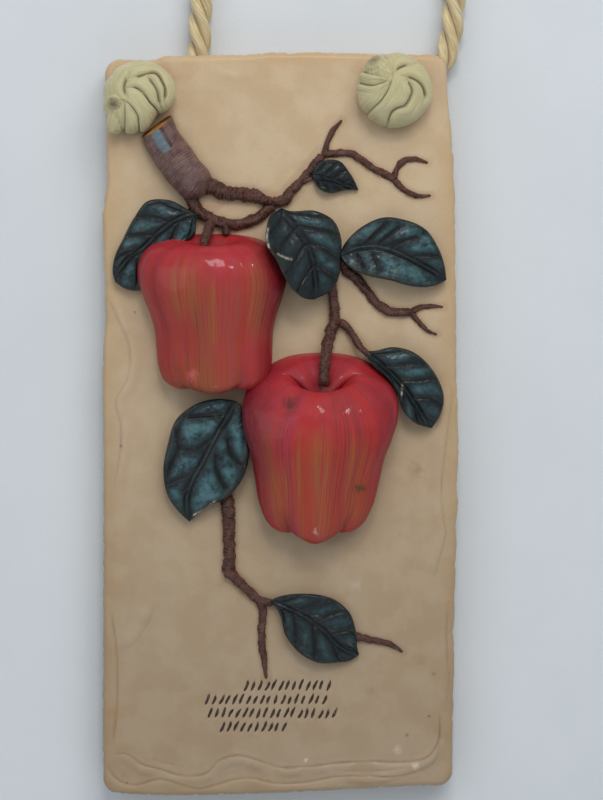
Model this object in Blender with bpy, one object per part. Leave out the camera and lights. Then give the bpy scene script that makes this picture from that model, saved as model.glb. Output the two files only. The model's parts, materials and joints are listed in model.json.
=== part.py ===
"""A cast wall plaque: a slab with two fruits, their leaves and their branch in relief.

It hangs by a thick twisted rope. Each end of the rope comes up a channel in the slab's back,
passes through a hole near a top corner and is tied in a large knot on the front.

Sizes are in millimetres here, and the meshes are made in metres. The slab's back lies in the
plane y = 0, its front faces -Y, and +Z is up. A place on the relief is given as x, z and its
rise above the slab's front face.
"""
import math

import bmesh
import bpy
import numpy as np

MM = 0.001

# The slab
SLAB_WIDTH = 119.6
SLAB_HEIGHT = 248.6
SLAB_THICKNESS = 12.0
CORNER_RADIUS = 5.0
FRONT_ROUNDING = 2.2
BACK_ROUNDING = 0.8
EDGE_STEP = 6.5

# How far the hand-rolled edge stays inside the full width and height: share along the side, inset
LEFT_DENTS = ((0.0, 0.7), (0.08, 0.3), (0.21, 0.5), (0.47, 0.6), (0.57, 0.3), (0.61, 0.6), (0.64, 1.4),
              (0.70, 1.1), (0.75, 0.6), (0.79, 0.3), (0.83, 1.8), (0.97, 1.1), (1.0, 1.1))
RIGHT_DENTS = ((0.0, 2.1), (0.11, 1.7), (0.18, 1.3), (0.21, 1.7), (0.25, 1.3), (0.33, 0.6), (0.36, 0.8),
               (0.39, 0.0), (0.41, 0.5), (0.46, 0.0), (0.52, 0.2), (0.56, 0.8), (0.63, 0.8), (0.80, 1.1),
               (0.88, 1.9), (0.94, 3.5), (1.0, 4.0))
TOP_DENTS = ((0.0, 2.4), (0.14, 2.4), (0.17, 1.2), (0.40, 0.7), (0.47, 0.0), (0.60, 0.0), (0.73, 0.3),
             (0.93, 0.7), (1.0, 1.2))
BOTTOM_DENTS = ((0.0, 0.9), (0.05, 0.6), (0.17, 0.0), (0.30, 0.2), (0.44, 0.6), (0.58, 1.3), (0.71, 2.1),
                (0.85, 3.0), (1.0, 3.5))

# Folds of the rolled clay border, as places in from the nearer side and up or down from an end
FOLD_RADIUS = 1.5
FOLD_SINK = 0.75
FOLD_SIDES = 5
FOLD_STEP = 6.0
BOTTOM_INNER_FOLD = ((-56, 14.3), (-48.7, 10.3), (-39, 7.5), (-28.7, 8), (-23, 11.1), (-18, 13.1),
                     (-11.7, 13.5), (-5.2, 11.5), (3, 9.5), (13.3, 11.1), (29.7, 12), (41.7, 11.5),
                     (49.7, 13.6), (53.3, 18.3), (53, 28))
BOTTOM_OUTER_FOLD = ((-52.8, 5.4), (-45.7, 3.9), (-39, 5.4), (-32.7, 4.1), (-25.3, 3.4), (-18, 4.6),
                     (-10.8, 6.1), (-2, 4.5), (7, 5.9), (15, 8.6), (25.7, 7.1), (40, 8.3), (49.7, 10.3))
LEFT_FOLD = ((1.5, 44.3), (6.1, 34), (9.2, 27), (8.6, 14.3), (5.4, 8), (6.8, -1.7), (6.4, -10),
             (4.4, -22))
RIGHT_FOLD = ((2.2, 12), (4.6, -8.7), (6.0, -24), (5.2, -32.3), (4.6, -36), (5.6, -41), (8.6, -51.7))
LEFT_LOW_FOLD = ((4.2, -60), (5.4, -72), (5.8, -90), (4.4, -107))
RIGHT_LOW_FOLD = ((3.6, -58), (4.2, -70), (3.8, -84), (4.4, -96))

# The rope, its holes and its channels
ROPE_DIAMETER = 8.0
ROPE_GAP = 0.3
HOLE_GAP = 0.5
ROPE_POINT_STEP = 7.0
LEFT_HOLE_IN = 12.3
LEFT_HOLE_DOWN = 17.8
RIGHT_HOLE_IN = 22.5
RIGHT_HOLE_DOWN = 13.3
ELBOW_REACH = 6.0
CHANNEL_PAST = 8.0

# The rope's route: x and z from the left hole, from the top edge's middle, and from the right hole
LEFT_LEG = ((0.0, 0.0), (6.2, 0.9), (11.6, 3.0), (16.2, 7.2), (19.0, 12.2), (20.2, 18.0), (20.5, 26.0),
            (20.9, 35.0), (21.3, 43.5))
CROWN = ((-24.6, 33.0), (-18.0, 48.5), (-8.0, 62.0), (3.5, 73.0), (15.9, 77.6), (28.3, 73.0),
         (39.8, 62.0), (50.0, 48.5), (56.6, 33.0))
RIGHT_LEG = ((21.1, 38.5), (21.1, 30.0), (20.4, 22.0), (18.7, 13.6), (14.8, 6.9), (10.4, 3.2), (5.9, 1.3),
             (0.0, 0.0))

# The knots
KNOT_RADIUS = 12.4
KNOT_WAIST = 4.5
KNOT_CROWN = 6.5
KNOT_BANDS = 7
KNOT_SWIRL = 1.5
KNOT_GROOVE = 0.24
KNOT_AROUND = 28
KNOT_RINGS = 9
STUB_RADIUS = 2.9
SHANK_SIDES = 16

# The fruits: share of the half width and share of the height, from the stem's hollow to the base
UPPER_PROFILE = ((0.0, 0.12), (0.14, 0.10), (0.28, 0.04), (0.42, 0.0), (0.62, 0.005), (0.84, 0.05),
                 (0.98, 0.15), (1.0, 0.25), (0.94, 0.38), (0.85, 0.51), (0.80, 0.61), (0.78, 0.73),
                 (0.76, 0.85), (0.70, 0.94), (0.52, 1.0), (0.22, 0.97), (0.0, 0.94))
LOWER_PROFILE = ((0.0, 0.17), (0.15, 0.14), (0.30, 0.06), (0.45, 0.0), (0.65, 0.02), (0.86, 0.08),
                 (0.98, 0.17), (1.0, 0.25), (0.95, 0.38), (0.86, 0.53), (0.80, 0.68), (0.73, 0.83),
                 (0.62, 0.94), (0.44, 1.0), (0.20, 0.96), (0.0, 0.93))
FRUIT_LOBES = 5
FRUIT_LOBE_SHARE = 0.055
FRUIT_AROUND = 30
FRUIT_ALONG = 20
RELIEF_SINK = 3.0

# The leaves: half widths are taken at these shares of a leaf's length
LEAF_SHARES = (0.04, 0.15, 0.30, 0.50, 0.70, 0.85, 0.96)
LEAF_ALONG = 13
LEAF_ACROSS = 4
VEIN_COUNT = 4.5
VEIN_DEPTH = 0.6
MIDRIB_DEPTH = 0.9
TWIG_SIDES = 6
BRANCH_SIDES = 12


def smooth_through(points, count, spread=2):
    """Evenly spaced places on a smooth curve through the points. Distance counts the first columns."""
    points = np.array(points, float)
    gaps = np.linalg.norm(np.diff(points[:, :spread], axis=0), axis=1)
    knots = np.concatenate([[0.0], np.cumsum(gaps)])
    slopes = np.diff(points, axis=0) / gaps[:, None]
    tangents = np.vstack([slopes[:1], slopes[:1], slopes[-1:]])
    if len(points) > 2:
        before = gaps[:-1, None]
        after = gaps[1:, None]
        inner = (slopes[:-1] * after + slopes[1:] * before) / (before + after)
        tangents = np.vstack([slopes[:1], inner, slopes[-1:]])
    fine = np.linspace(0.0, knots[-1], 40 * len(points))
    place = np.clip(np.searchsorted(knots, fine, side="right") - 1, 0, len(gaps) - 1)
    gap = gaps[place][:, None]
    t = (fine - knots[place])[:, None] / gap
    curve = ((2 * t**3 - 3 * t**2 + 1) * points[place] + (t**3 - 2 * t**2 + t) * gap * tangents[place]
             + (3 * t**2 - 2 * t**3) * points[place + 1] + (t**3 - t**2) * gap * tangents[place + 1])
    run = np.concatenate([[0.0], np.cumsum(np.linalg.norm(np.diff(curve[:, :spread], axis=0), axis=1))])
    wanted = np.linspace(0.0, run[-1], count)
    return np.column_stack([np.interp(wanted, run, column) for column in curve.T])


def world(x, z, rise):
    """A place on the relief, in metres."""
    return (x * MM, -(SLAB_THICKNESS + rise) * MM, z * MM)


def clear_scene():
    for old in list(bpy.data.objects):
        bpy.data.objects.remove(old)


def make_material(name, colour, roughness):
    material = bpy.data.materials.new(name)
    material.use_nodes = True
    shader = material.node_tree.nodes["Principled BSDF"]
    shader.inputs["Base Color"].default_value = (*colour, 1.0)
    shader.inputs["Roughness"].default_value = roughness
    shader.inputs["Metallic"].default_value = 0.0
    return material


def make_object(name, vertices, faces, smooth=True):
    mesh = bpy.data.meshes.new(name)
    mesh.from_pydata(vertices, [], faces)
    shape = bmesh.new()
    shape.from_mesh(mesh)
    bmesh.ops.remove_doubles(shape, verts=shape.verts, dist=1e-6)
    bmesh.ops.recalc_face_normals(shape, faces=shape.faces)
    shape.to_mesh(mesh)
    shape.free()
    if smooth:
        mesh.shade_smooth()
    made = bpy.data.objects.new(name, mesh)
    bpy.context.scene.collection.objects.link(made)
    return made


def bridged(ring_count, ring_size, closed_ring=True):
    """Quads between rings of points stored one after another."""
    faces = []
    last = ring_size if closed_ring else ring_size - 1
    for ring in range(ring_count - 1):
        for step in range(last):
            here = ring * ring_size + step
            beside = ring * ring_size + (step + 1) % ring_size
            faces.append((here, beside, beside + ring_size, here + ring_size))
    return faces


def as_helper(helper, group):
    """Keeps a shape that is only joined to, or cut from, another."""
    helper.hide_render = True
    helper.display_type = "WIRE"
    group.objects.link(helper)
    return helper


def join_or_cut(target, operation, group):
    modifier = target.modifiers.new(operation.lower(), "BOOLEAN")
    modifier.operation = operation
    modifier.operand_type = "COLLECTION"
    modifier.collection = group
    modifier.solver = "EXACT"


def dent(dents, share):
    return np.interp(share, [place for place, _ in dents], [depth for _, depth in dents])


def slab_outline():
    """Places around the slab's edge, each with its outward direction."""
    half_width = SLAB_WIDTH / 2
    half_height = SLAB_HEIGHT / 2
    places = []
    for quarter in range(4):
        across = (1, -1, -1, 1)[quarter]
        up = (1, 1, -1, -1)[quarter]
        start = math.radians(90 * quarter)
        for step in range(5):
            turn = start + math.radians(90 * step / 4)
            places.append((across * (half_width - CORNER_RADIUS) + CORNER_RADIUS * math.cos(turn),
                           up * (half_height - CORNER_RADIUS) + CORNER_RADIUS * math.sin(turn)))
        length = (SLAB_WIDTH if quarter % 2 == 0 else SLAB_HEIGHT) - 2 * CORNER_RADIUS
        next_across = (-1, -1, 1, 1)[quarter]
        next_up = (1, -1, -1, 1)[quarter]
        end = math.radians(90 * (quarter + 1))
        goal = (next_across * (half_width - CORNER_RADIUS) + CORNER_RADIUS * math.cos(end),
                next_up * (half_height - CORNER_RADIUS) + CORNER_RADIUS * math.sin(end))
        steps = max(2, round(length / EDGE_STEP))
        begin = places[-1]
        for step in range(1, steps):
            share = step / steps
            places.append((begin[0] + (goal[0] - begin[0]) * share, begin[1] + (goal[1] - begin[1]) * share))
    rough = []
    for x, z in places:
        up_share = (z + half_height) / SLAB_HEIGHT
        across_share = (x + half_width) / SLAB_WIDTH
        side_dent = dent(RIGHT_DENTS if x > 0 else LEFT_DENTS, up_share)
        end_dent = dent(TOP_DENTS if z > 0 else BOTTOM_DENTS, across_share)
        rough.append((x * (half_width - side_dent) / half_width, z * (half_height - end_dent) / half_height))
    edge = np.array(rough)
    along = np.roll(edge, -1, axis=0) - np.roll(edge, 1, axis=0)
    outward = np.column_stack([along[:, 1], -along[:, 0]])
    return edge, outward / np.linalg.norm(outward, axis=1)[:, None]


def make_slab():
    edge, outward = slab_outline()
    layers = ((BACK_ROUNDING, -SLAB_THICKNESS), (0.0, BACK_ROUNDING - SLAB_THICKNESS),
              (0.0, -FRONT_ROUNDING), (0.3 * FRONT_ROUNDING, -0.3 * FRONT_ROUNDING), (FRONT_ROUNDING, 0.0))
    vertices = []
    for inset, rise in layers:
        for x, z in edge - outward * inset:
            vertices.append(world(x, z, rise))
    faces = bridged(len(layers), len(edge))
    faces.append(tuple(range(len(edge))))
    faces.append(tuple(range((len(layers) - 1) * len(edge), len(layers) * len(edge))))
    return make_object("plaque", vertices, faces)


def make_limb(name, stations, sides, flatten=1.0, lean=0.0):
    """A round stem through stations of x, z, rise and radius. The first end may be cut at a lean."""
    stations = np.array(stations, float)
    along = np.gradient(stations[:, :2], axis=0)
    along /= np.linalg.norm(along, axis=1)[:, None]
    vertices = []
    for place, (x, z, rise, radius) in enumerate(stations):
        side = np.array([along[place][1], -along[place][0]])
        for step in range(sides):
            turn = 2 * math.pi * (step + 0.5) / sides
            offset = side * radius * math.cos(turn)
            if place == 0:
                offset = offset + along[0] * radius * math.cos(turn) * math.tan(lean)
            vertices.append(world(x + offset[0], z + offset[1], rise + flatten * radius * math.sin(turn)))
    faces = bridged(len(stations), sides)
    faces.append(tuple(range(sides)))
    faces.append(tuple(range((len(stations) - 1) * sides, len(stations) * sides)))
    return make_object(name, vertices, faces)


def stem(name, points, sides=TWIG_SIDES, step=4.2, lean=0.0):
    """A twig through hand-placed points of x, z, rise and radius."""
    run = sum(math.dist(a[:2], b[:2]) for a, b in zip(points, points[1:]))
    return make_limb(name, smooth_through(points, max(3, round(run / step))), sides, lean=lean)


def make_fruit(name, centre, foot, top, height, half_width, tilt, axis_rise, foot_rise, depth_share,
               profile, lobe_turn):
    """A lobed fruit whose top leans forward, cut off inside the slab."""
    curve = smooth_through([(radius * half_width, share * height) for radius, share in profile], FRUIT_ALONG)
    vertices = []
    for radius, drop in curve:
        share = drop / height
        low = max(0.0, (share - 0.55) / 0.45)
        high = max(0.0, 1.0 - share / 0.12)
        for step in range(FRUIT_AROUND):
            turn = 2 * math.pi * step / FRUIT_AROUND
            wave = math.cos(FRUIT_LOBES * (turn - lobe_turn))
            swell = 1.0 + FRUIT_LOBE_SHARE * (low + 0.4 * high) * wave
            forward = radius * swell * math.cos(turn)
            x = centre + (foot - centre) * share + radius * swell * math.sin(turn)
            z = top - drop - forward * math.sin(tilt) - 0.035 * height * low**2 * wave * min(1, radius / 9)
            rise = axis_rise + (foot_rise - axis_rise) * share + forward * depth_share
            vertices.append(world(x, z, rise))
    faces = bridged(len(curve), FRUIT_AROUND)
    fruit = make_object(name, vertices, faces)
    shape = bmesh.new()
    shape.from_mesh(fruit.data)
    everything = list(shape.verts) + list(shape.edges) + list(shape.faces)
    plane = (0, -(SLAB_THICKNESS - RELIEF_SINK) * MM, 0)
    bmesh.ops.bisect_plane(shape, geom=everything, plane_co=plane, plane_no=(0, 1, 0), clear_outer=True)
    rim = [edge for edge in shape.edges if edge.is_boundary]
    bmesh.ops.edgeloop_fill(shape, edges=rim)
    bmesh.ops.recalc_face_normals(shape, faces=shape.faces)
    shape.to_mesh(fruit.data)
    shape.free()
    return fruit


def leaf_rows(base, tip, bow, left, right, rises, edges, along, across):
    """Rows of places over a leaf, from base to tip, each from its left edge to its right edge."""
    base = np.array(base, float)
    run = np.array(tip, float) - base
    length = np.linalg.norm(run)
    forward = run / length
    to_left = np.array([-forward[1], forward[0]])
    shares = (0.0, *LEAF_SHARES, 1.0)
    rows = []
    for step in range(along + 1):
        share = 0.5 - 0.5 * math.cos(math.pi * step / along)
        midrib = bow * 4 * share * (1 - share)
        left_edge = np.interp(share, shares, (0.0, *left, 0.0))
        right_edge = np.interp(share, shares, (0.0, *right, 0.0))
        spine = rises[0] + (rises[2] - rises[0]) * share + rises[1] * 4 * share * (1 - share)
        row = []
        for column in range(-across, across + 1):
            out = abs(column) / across
            edge = left_edge if column < 0 else right_edge
            offset = midrib + (edge - midrib) * out
            place = base + forward * share * length + to_left * offset
            lift = (edges[0] if column < 0 else edges[1]) * out**2 * math.sin(math.pi * share) ** 0.5
            pleat = math.cos(2 * math.pi * (VEIN_COUNT * share - 1.1 * out))
            groove = MIDRIB_DEPTH * max(0.0, 1 - 4 * out) + VEIN_DEPTH * pleat * out * (1.4 - out)
            row.append((place[0], place[1], spine + lift - groove * min(1.0, 6 * share * (1 - share))))
        rows.append(row)
    return rows


def make_leaf(name, base, tip, bow, left, right, rises, edges):
    """A leaf as a closed block: its carved upper face, a skirt and a flat foot inside the slab."""
    rows = leaf_rows(base, tip, bow, left, right, rises, edges, LEAF_ALONG, LEAF_ACROSS)
    columns = len(rows[0])
    middle = np.mean([place[:2] for row in rows for place in row], axis=0)
    upper = [world(*place) for row in rows for place in row]
    lower = [world(middle[0] + (x - middle[0]) * 0.94, middle[1] + (z - middle[1]) * 0.94, -RELIEF_SINK)
             for row in rows for x, z, _ in row]
    faces = bridged(len(rows), columns, closed_ring=False)
    shift = len(upper)
    faces += [tuple(corner + shift for corner in reversed(face)) for face in faces]
    rim = [row * columns for row in range(len(rows))]
    rim += [(len(rows) - 1) * columns + column for column in range(1, columns)]
    rim += [row * columns + columns - 1 for row in range(len(rows) - 2, -1, -1)]
    rim += [column for column in range(columns - 2, 0, -1)]
    for here, beside in zip(rim, rim[1:] + rim[:1]):
        faces.append((here, beside, beside + shift, here + shift))
    return make_object(name, upper + lower, faces)


def channel_cutter(name, path):
    """A round-bottomed groove in the slab's back, swept along the rope's path."""
    half = ROPE_DIAMETER / 2 + ROPE_GAP
    depth = ROPE_DIAMETER / 2 + ROPE_GAP
    section = [(half, 1.0)]
    section += [(half * math.cos(turn), -depth - half * math.sin(turn))
                for turn in (math.pi * step / 8 for step in range(9))]
    section += [(-half, 1.0)]
    path = np.array(path, float)
    along = np.gradient(path, axis=0)
    along /= np.linalg.norm(along, axis=1)[:, None]
    vertices = []
    for (x, z), (dx, dz) in zip(path, along):
        vertices += [((x + dz * side) * MM, y * MM, (z - dx * side) * MM) for side, y in section]
    faces = bridged(len(path), len(section))
    faces.append(tuple(range(len(section))))
    faces.append(tuple(range((len(path) - 1) * len(section), len(path) * len(section))))
    return make_object(name, vertices, faces)


def hole_cutter(name, place):
    radius = ROPE_DIAMETER / 2 + HOLE_GAP
    vertices = []
    for rise in (8.0, -SLAB_THICKNESS - 2.0):
        for step in range(SHANK_SIDES):
            turn = 2 * math.pi * step / SHANK_SIDES
            vertices.append(world(place[0] + radius * math.cos(turn), place[1] + radius * math.sin(turn), rise))
    faces = bridged(2, SHANK_SIDES)
    faces += [tuple(range(SHANK_SIDES)), tuple(range(SHANK_SIDES, 2 * SHANK_SIDES))]
    return make_object(name, vertices, faces)


def make_knot(name, centre, hole, end, ahead, squeeze, stub):
    """A domed knot of swirling strands, its cut end, and the bend of rope behind it."""
    vertices = []
    underside = ROPE_GAP
    for ring in range(KNOT_RINGS + 1):
        polar = math.pi * ring / KNOT_RINGS
        drop = KNOT_CROWN if polar <= math.pi / 2 else KNOT_WAIST - underside
        for step in range(KNOT_AROUND):
            turn = 2 * math.pi * step / KNOT_AROUND
            band = abs(math.sin(0.5 * (KNOT_BANDS * turn + KNOT_SWIRL * KNOT_BANDS * polar / 2)))
            pressed = squeeze[1] * math.exp(-((math.remainder(turn - squeeze[0], 2 * math.pi) / 0.6) ** 2))
            radius = (KNOT_RADIUS - pressed) * math.sin(polar) ** 0.8
            share = 1 - KNOT_GROOVE * (1 - band) ** 1.5 * math.sin(polar)
            rise = KNOT_WAIST + drop * math.cos(polar) * (share if polar < math.pi / 2 else 1.0)
            vertices.append(world(centre[0] + radius * share * math.cos(turn),
                                  centre[1] + radius * share * math.sin(turn), rise))
    knot = make_object(name, vertices, bridged(KNOT_RINGS + 1, KNOT_AROUND))
    group = bpy.data.collections.new(name + "_ends")
    as_helper(make_limb(name + "_stub", stub, 10), group)
    as_helper(make_shank(name + "_shank", hole, end, ahead), group)
    join_or_cut(knot, "UNION", group)
    return knot


def make_shank(name, hole, end, ahead):
    """The rope through its hole, with a mitred bend that ends face to face with the rope behind."""
    radius = ROPE_DIAMETER / 2
    back = np.array([0.0, 1.0, 0.0])
    start = np.array([hole[0], -(SLAB_THICKNESS + 3.0), hole[1]])
    corner = np.array([hole[0], -(radius + ROPE_GAP), hole[1]])
    finish = np.array([end[0], corner[1], end[1]])
    reach = (finish - corner) / np.linalg.norm(finish - corner)
    leaving = np.array([ahead[0], 0.0, ahead[1]])
    vertices = []
    for place, inward, way in ((start, reach, reach), (corner, reach - back, reach), (finish, -back, leaving)):
        across = np.cross(back, way)
        for step in range(SHANK_SIDES):
            turn = 2 * math.pi * (step + 0.5) / SHANK_SIDES
            vertices.append((place + radius * (math.cos(turn) * inward + math.sin(turn) * across)) * MM)
    faces = bridged(3, SHANK_SIDES)
    faces += [tuple(range(SHANK_SIDES)), tuple(range(2 * SHANK_SIDES, 3 * SHANK_SIDES))]
    return make_object(name, vertices, faces)


def rope_route(left_hole, right_hole):
    """The whole route from hole to hole, as x and z."""
    top = SLAB_HEIGHT / 2
    route = [(left_hole[0] + x, left_hole[1] + z) for x, z in LEFT_LEG]
    route += [(x, top + z) for x, z in CROWN]
    route += [(right_hole[0] + x, right_hole[1] + z) for x, z in RIGHT_LEG]
    return route


def make_rope(path):
    data = bpy.data.curves.new("hanging_rope", "CURVE")
    data.dimensions = "3D"
    data.bevel_depth = ROPE_DIAMETER / 2 * MM
    data.bevel_resolution = 3
    data.use_fill_caps = True
    spline = data.splines.new("POLY")
    spline.points.add(len(path) - 1)
    depth = ROPE_DIAMETER / 2 + ROPE_GAP
    for point, (x, z) in zip(spline.points, path):
        point.co = (x * MM, -depth * MM, z * MM, 1.0)
    rope = bpy.data.objects.new("hanging_rope", data)
    bpy.context.scene.collection.objects.link(rope)
    return rope


def border_folds():
    """Each fold's places, as x and z."""
    half_width = SLAB_WIDTH / 2
    foot = -SLAB_HEIGHT / 2
    yield "fold_bottom_inner", [(x, foot + z) for x, z in BOTTOM_INNER_FOLD]
    yield "fold_bottom_outer", [(x, foot + z) for x, z in BOTTOM_OUTER_FOLD]
    yield "fold_left", [(inset - half_width, z) for inset, z in LEFT_FOLD]
    yield "fold_left_low", [(inset - half_width, z) for inset, z in LEFT_LOW_FOLD]
    yield "fold_right", [(half_width - inset, z) for inset, z in RIGHT_FOLD]
    yield "fold_right_low", [(half_width - inset, z) for inset, z in RIGHT_LOW_FOLD]


def add_folds(relief):
    for name, places in border_folds():
        stations = [(x, z, -FOLD_SINK, FOLD_RADIUS) for x, z in places]
        run = sum(math.dist(a, b) for a, b in zip(places, places[1:]))
        path = smooth_through(stations, round(run / FOLD_STEP))
        path[0, 3] = 0.6 * FOLD_RADIUS
        path[-1, 3] = 0.6 * FOLD_RADIUS
        as_helper(make_limb(name, path, FOLD_SIDES), relief)


def add_fruits(relief):
    upper = make_fruit("upper_fruit", centre=-22.8, foot=-21.2, top=60.8, height=47.8, half_width=24.7,
                       tilt=0.2, axis_rise=6.0, foot_rise=3.5, depth_share=0.50, profile=UPPER_PROFILE,
                       lobe_turn=math.radians(36))
    lower = make_fruit("lower_fruit", centre=13.9, foot=11.7, top=16.4, height=48.9, half_width=25.9,
                       tilt=0.5236, axis_rise=8.0, foot_rise=4.0, depth_share=0.46, profile=LOWER_PROFILE,
                       lobe_turn=0.0)
    as_helper(upper, relief)
    as_helper(lower, relief)


def add_leaves(relief):
    leaves = (
        make_leaf("leaf_small", (10.6, 82.4), (26.0, 78.0), 0.3, (4.4, 5.9, 7.0, 7.1, 4.9, 2.8, 0.8),
                  (-0.6, -2.6, -3.6, -3.4, -1.6, -0.7, -0.2), (2.4, 1.0, 1.6), (-0.6, -0.6)),
        make_leaf("leaf_upper_left", (-26.7, 69.3), (-54.7, 47.3), -3.5, (0.3, 4.0, 4.2, 5.4, 7.4, 7.5, 4.0),
                  (-2.6, -10.5, -14.1, -12.5, -9.3, -6.7, -3.1), (4.6, 1.6, 3.0), (-0.8, -1.0)),
        make_leaf("leaf_centre", (0.7, 71.3), (11.3, 41.3), 4.0, (1.5, 10.4, 14.7, 15.0, 12.4, 10.4, 6.8),
                  (-4.4, -6.9, -8.7, -7.4, -6.6, -5.3, -2.8), (8.0, 2.2, 8.5), (-3.0, 6.5)),
        make_leaf("leaf_right", (20.0, 57.0), (55.2, 48.0), 4.6, (4.5, 10.4, 14.5, 15.6, 14.3, 9.7, 3.7),
                  (-2.2, -4.5, -5.2, -4.9, -5.0, -3.9, -1.5), (4.2, 2.0, 3.4), (-1.2, 1.4)),
        make_leaf("leaf_lower_left", (-14.7, 7.6), (-30.0, -32.3), -3.4, (3.6, 6.7, 9.9, 11.3, 9.2, 3.3, 0.8),
                  (-6.2, -12.4, -16.0, -15.7, -14.0, -10.5, -4.2), (5.0, 2.6, 3.4), (-0.4, -1.2)),
        make_leaf("leaf_lower_right", (28.7, 24.2), (50.4, -1.2), 2.2, (1.5, 7.7, 11.3, 12.6, 11.7, 9.4, 4.5),
                  (-0.9, -1.4, -0.6, -1.0, -3.6, -3.2, -1.1), (5.0, 2.4, 3.4), (-1.4, 0.6)),
        make_leaf("leaf_bottom", (-3.2, -58.8), (26.2, -76.7), 1.3, (2.1, 5.7, 8.9, 11.3, 10.4, 6.3, 1.3),
                  (-0.4, -2.2, -6.9, -9.5, -9.1, -6.1, -2.9), (2.6, 2.0, 1.8), (-0.6, -0.6)),
    )
    for leaf in leaves:
        as_helper(leaf, relief)


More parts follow.
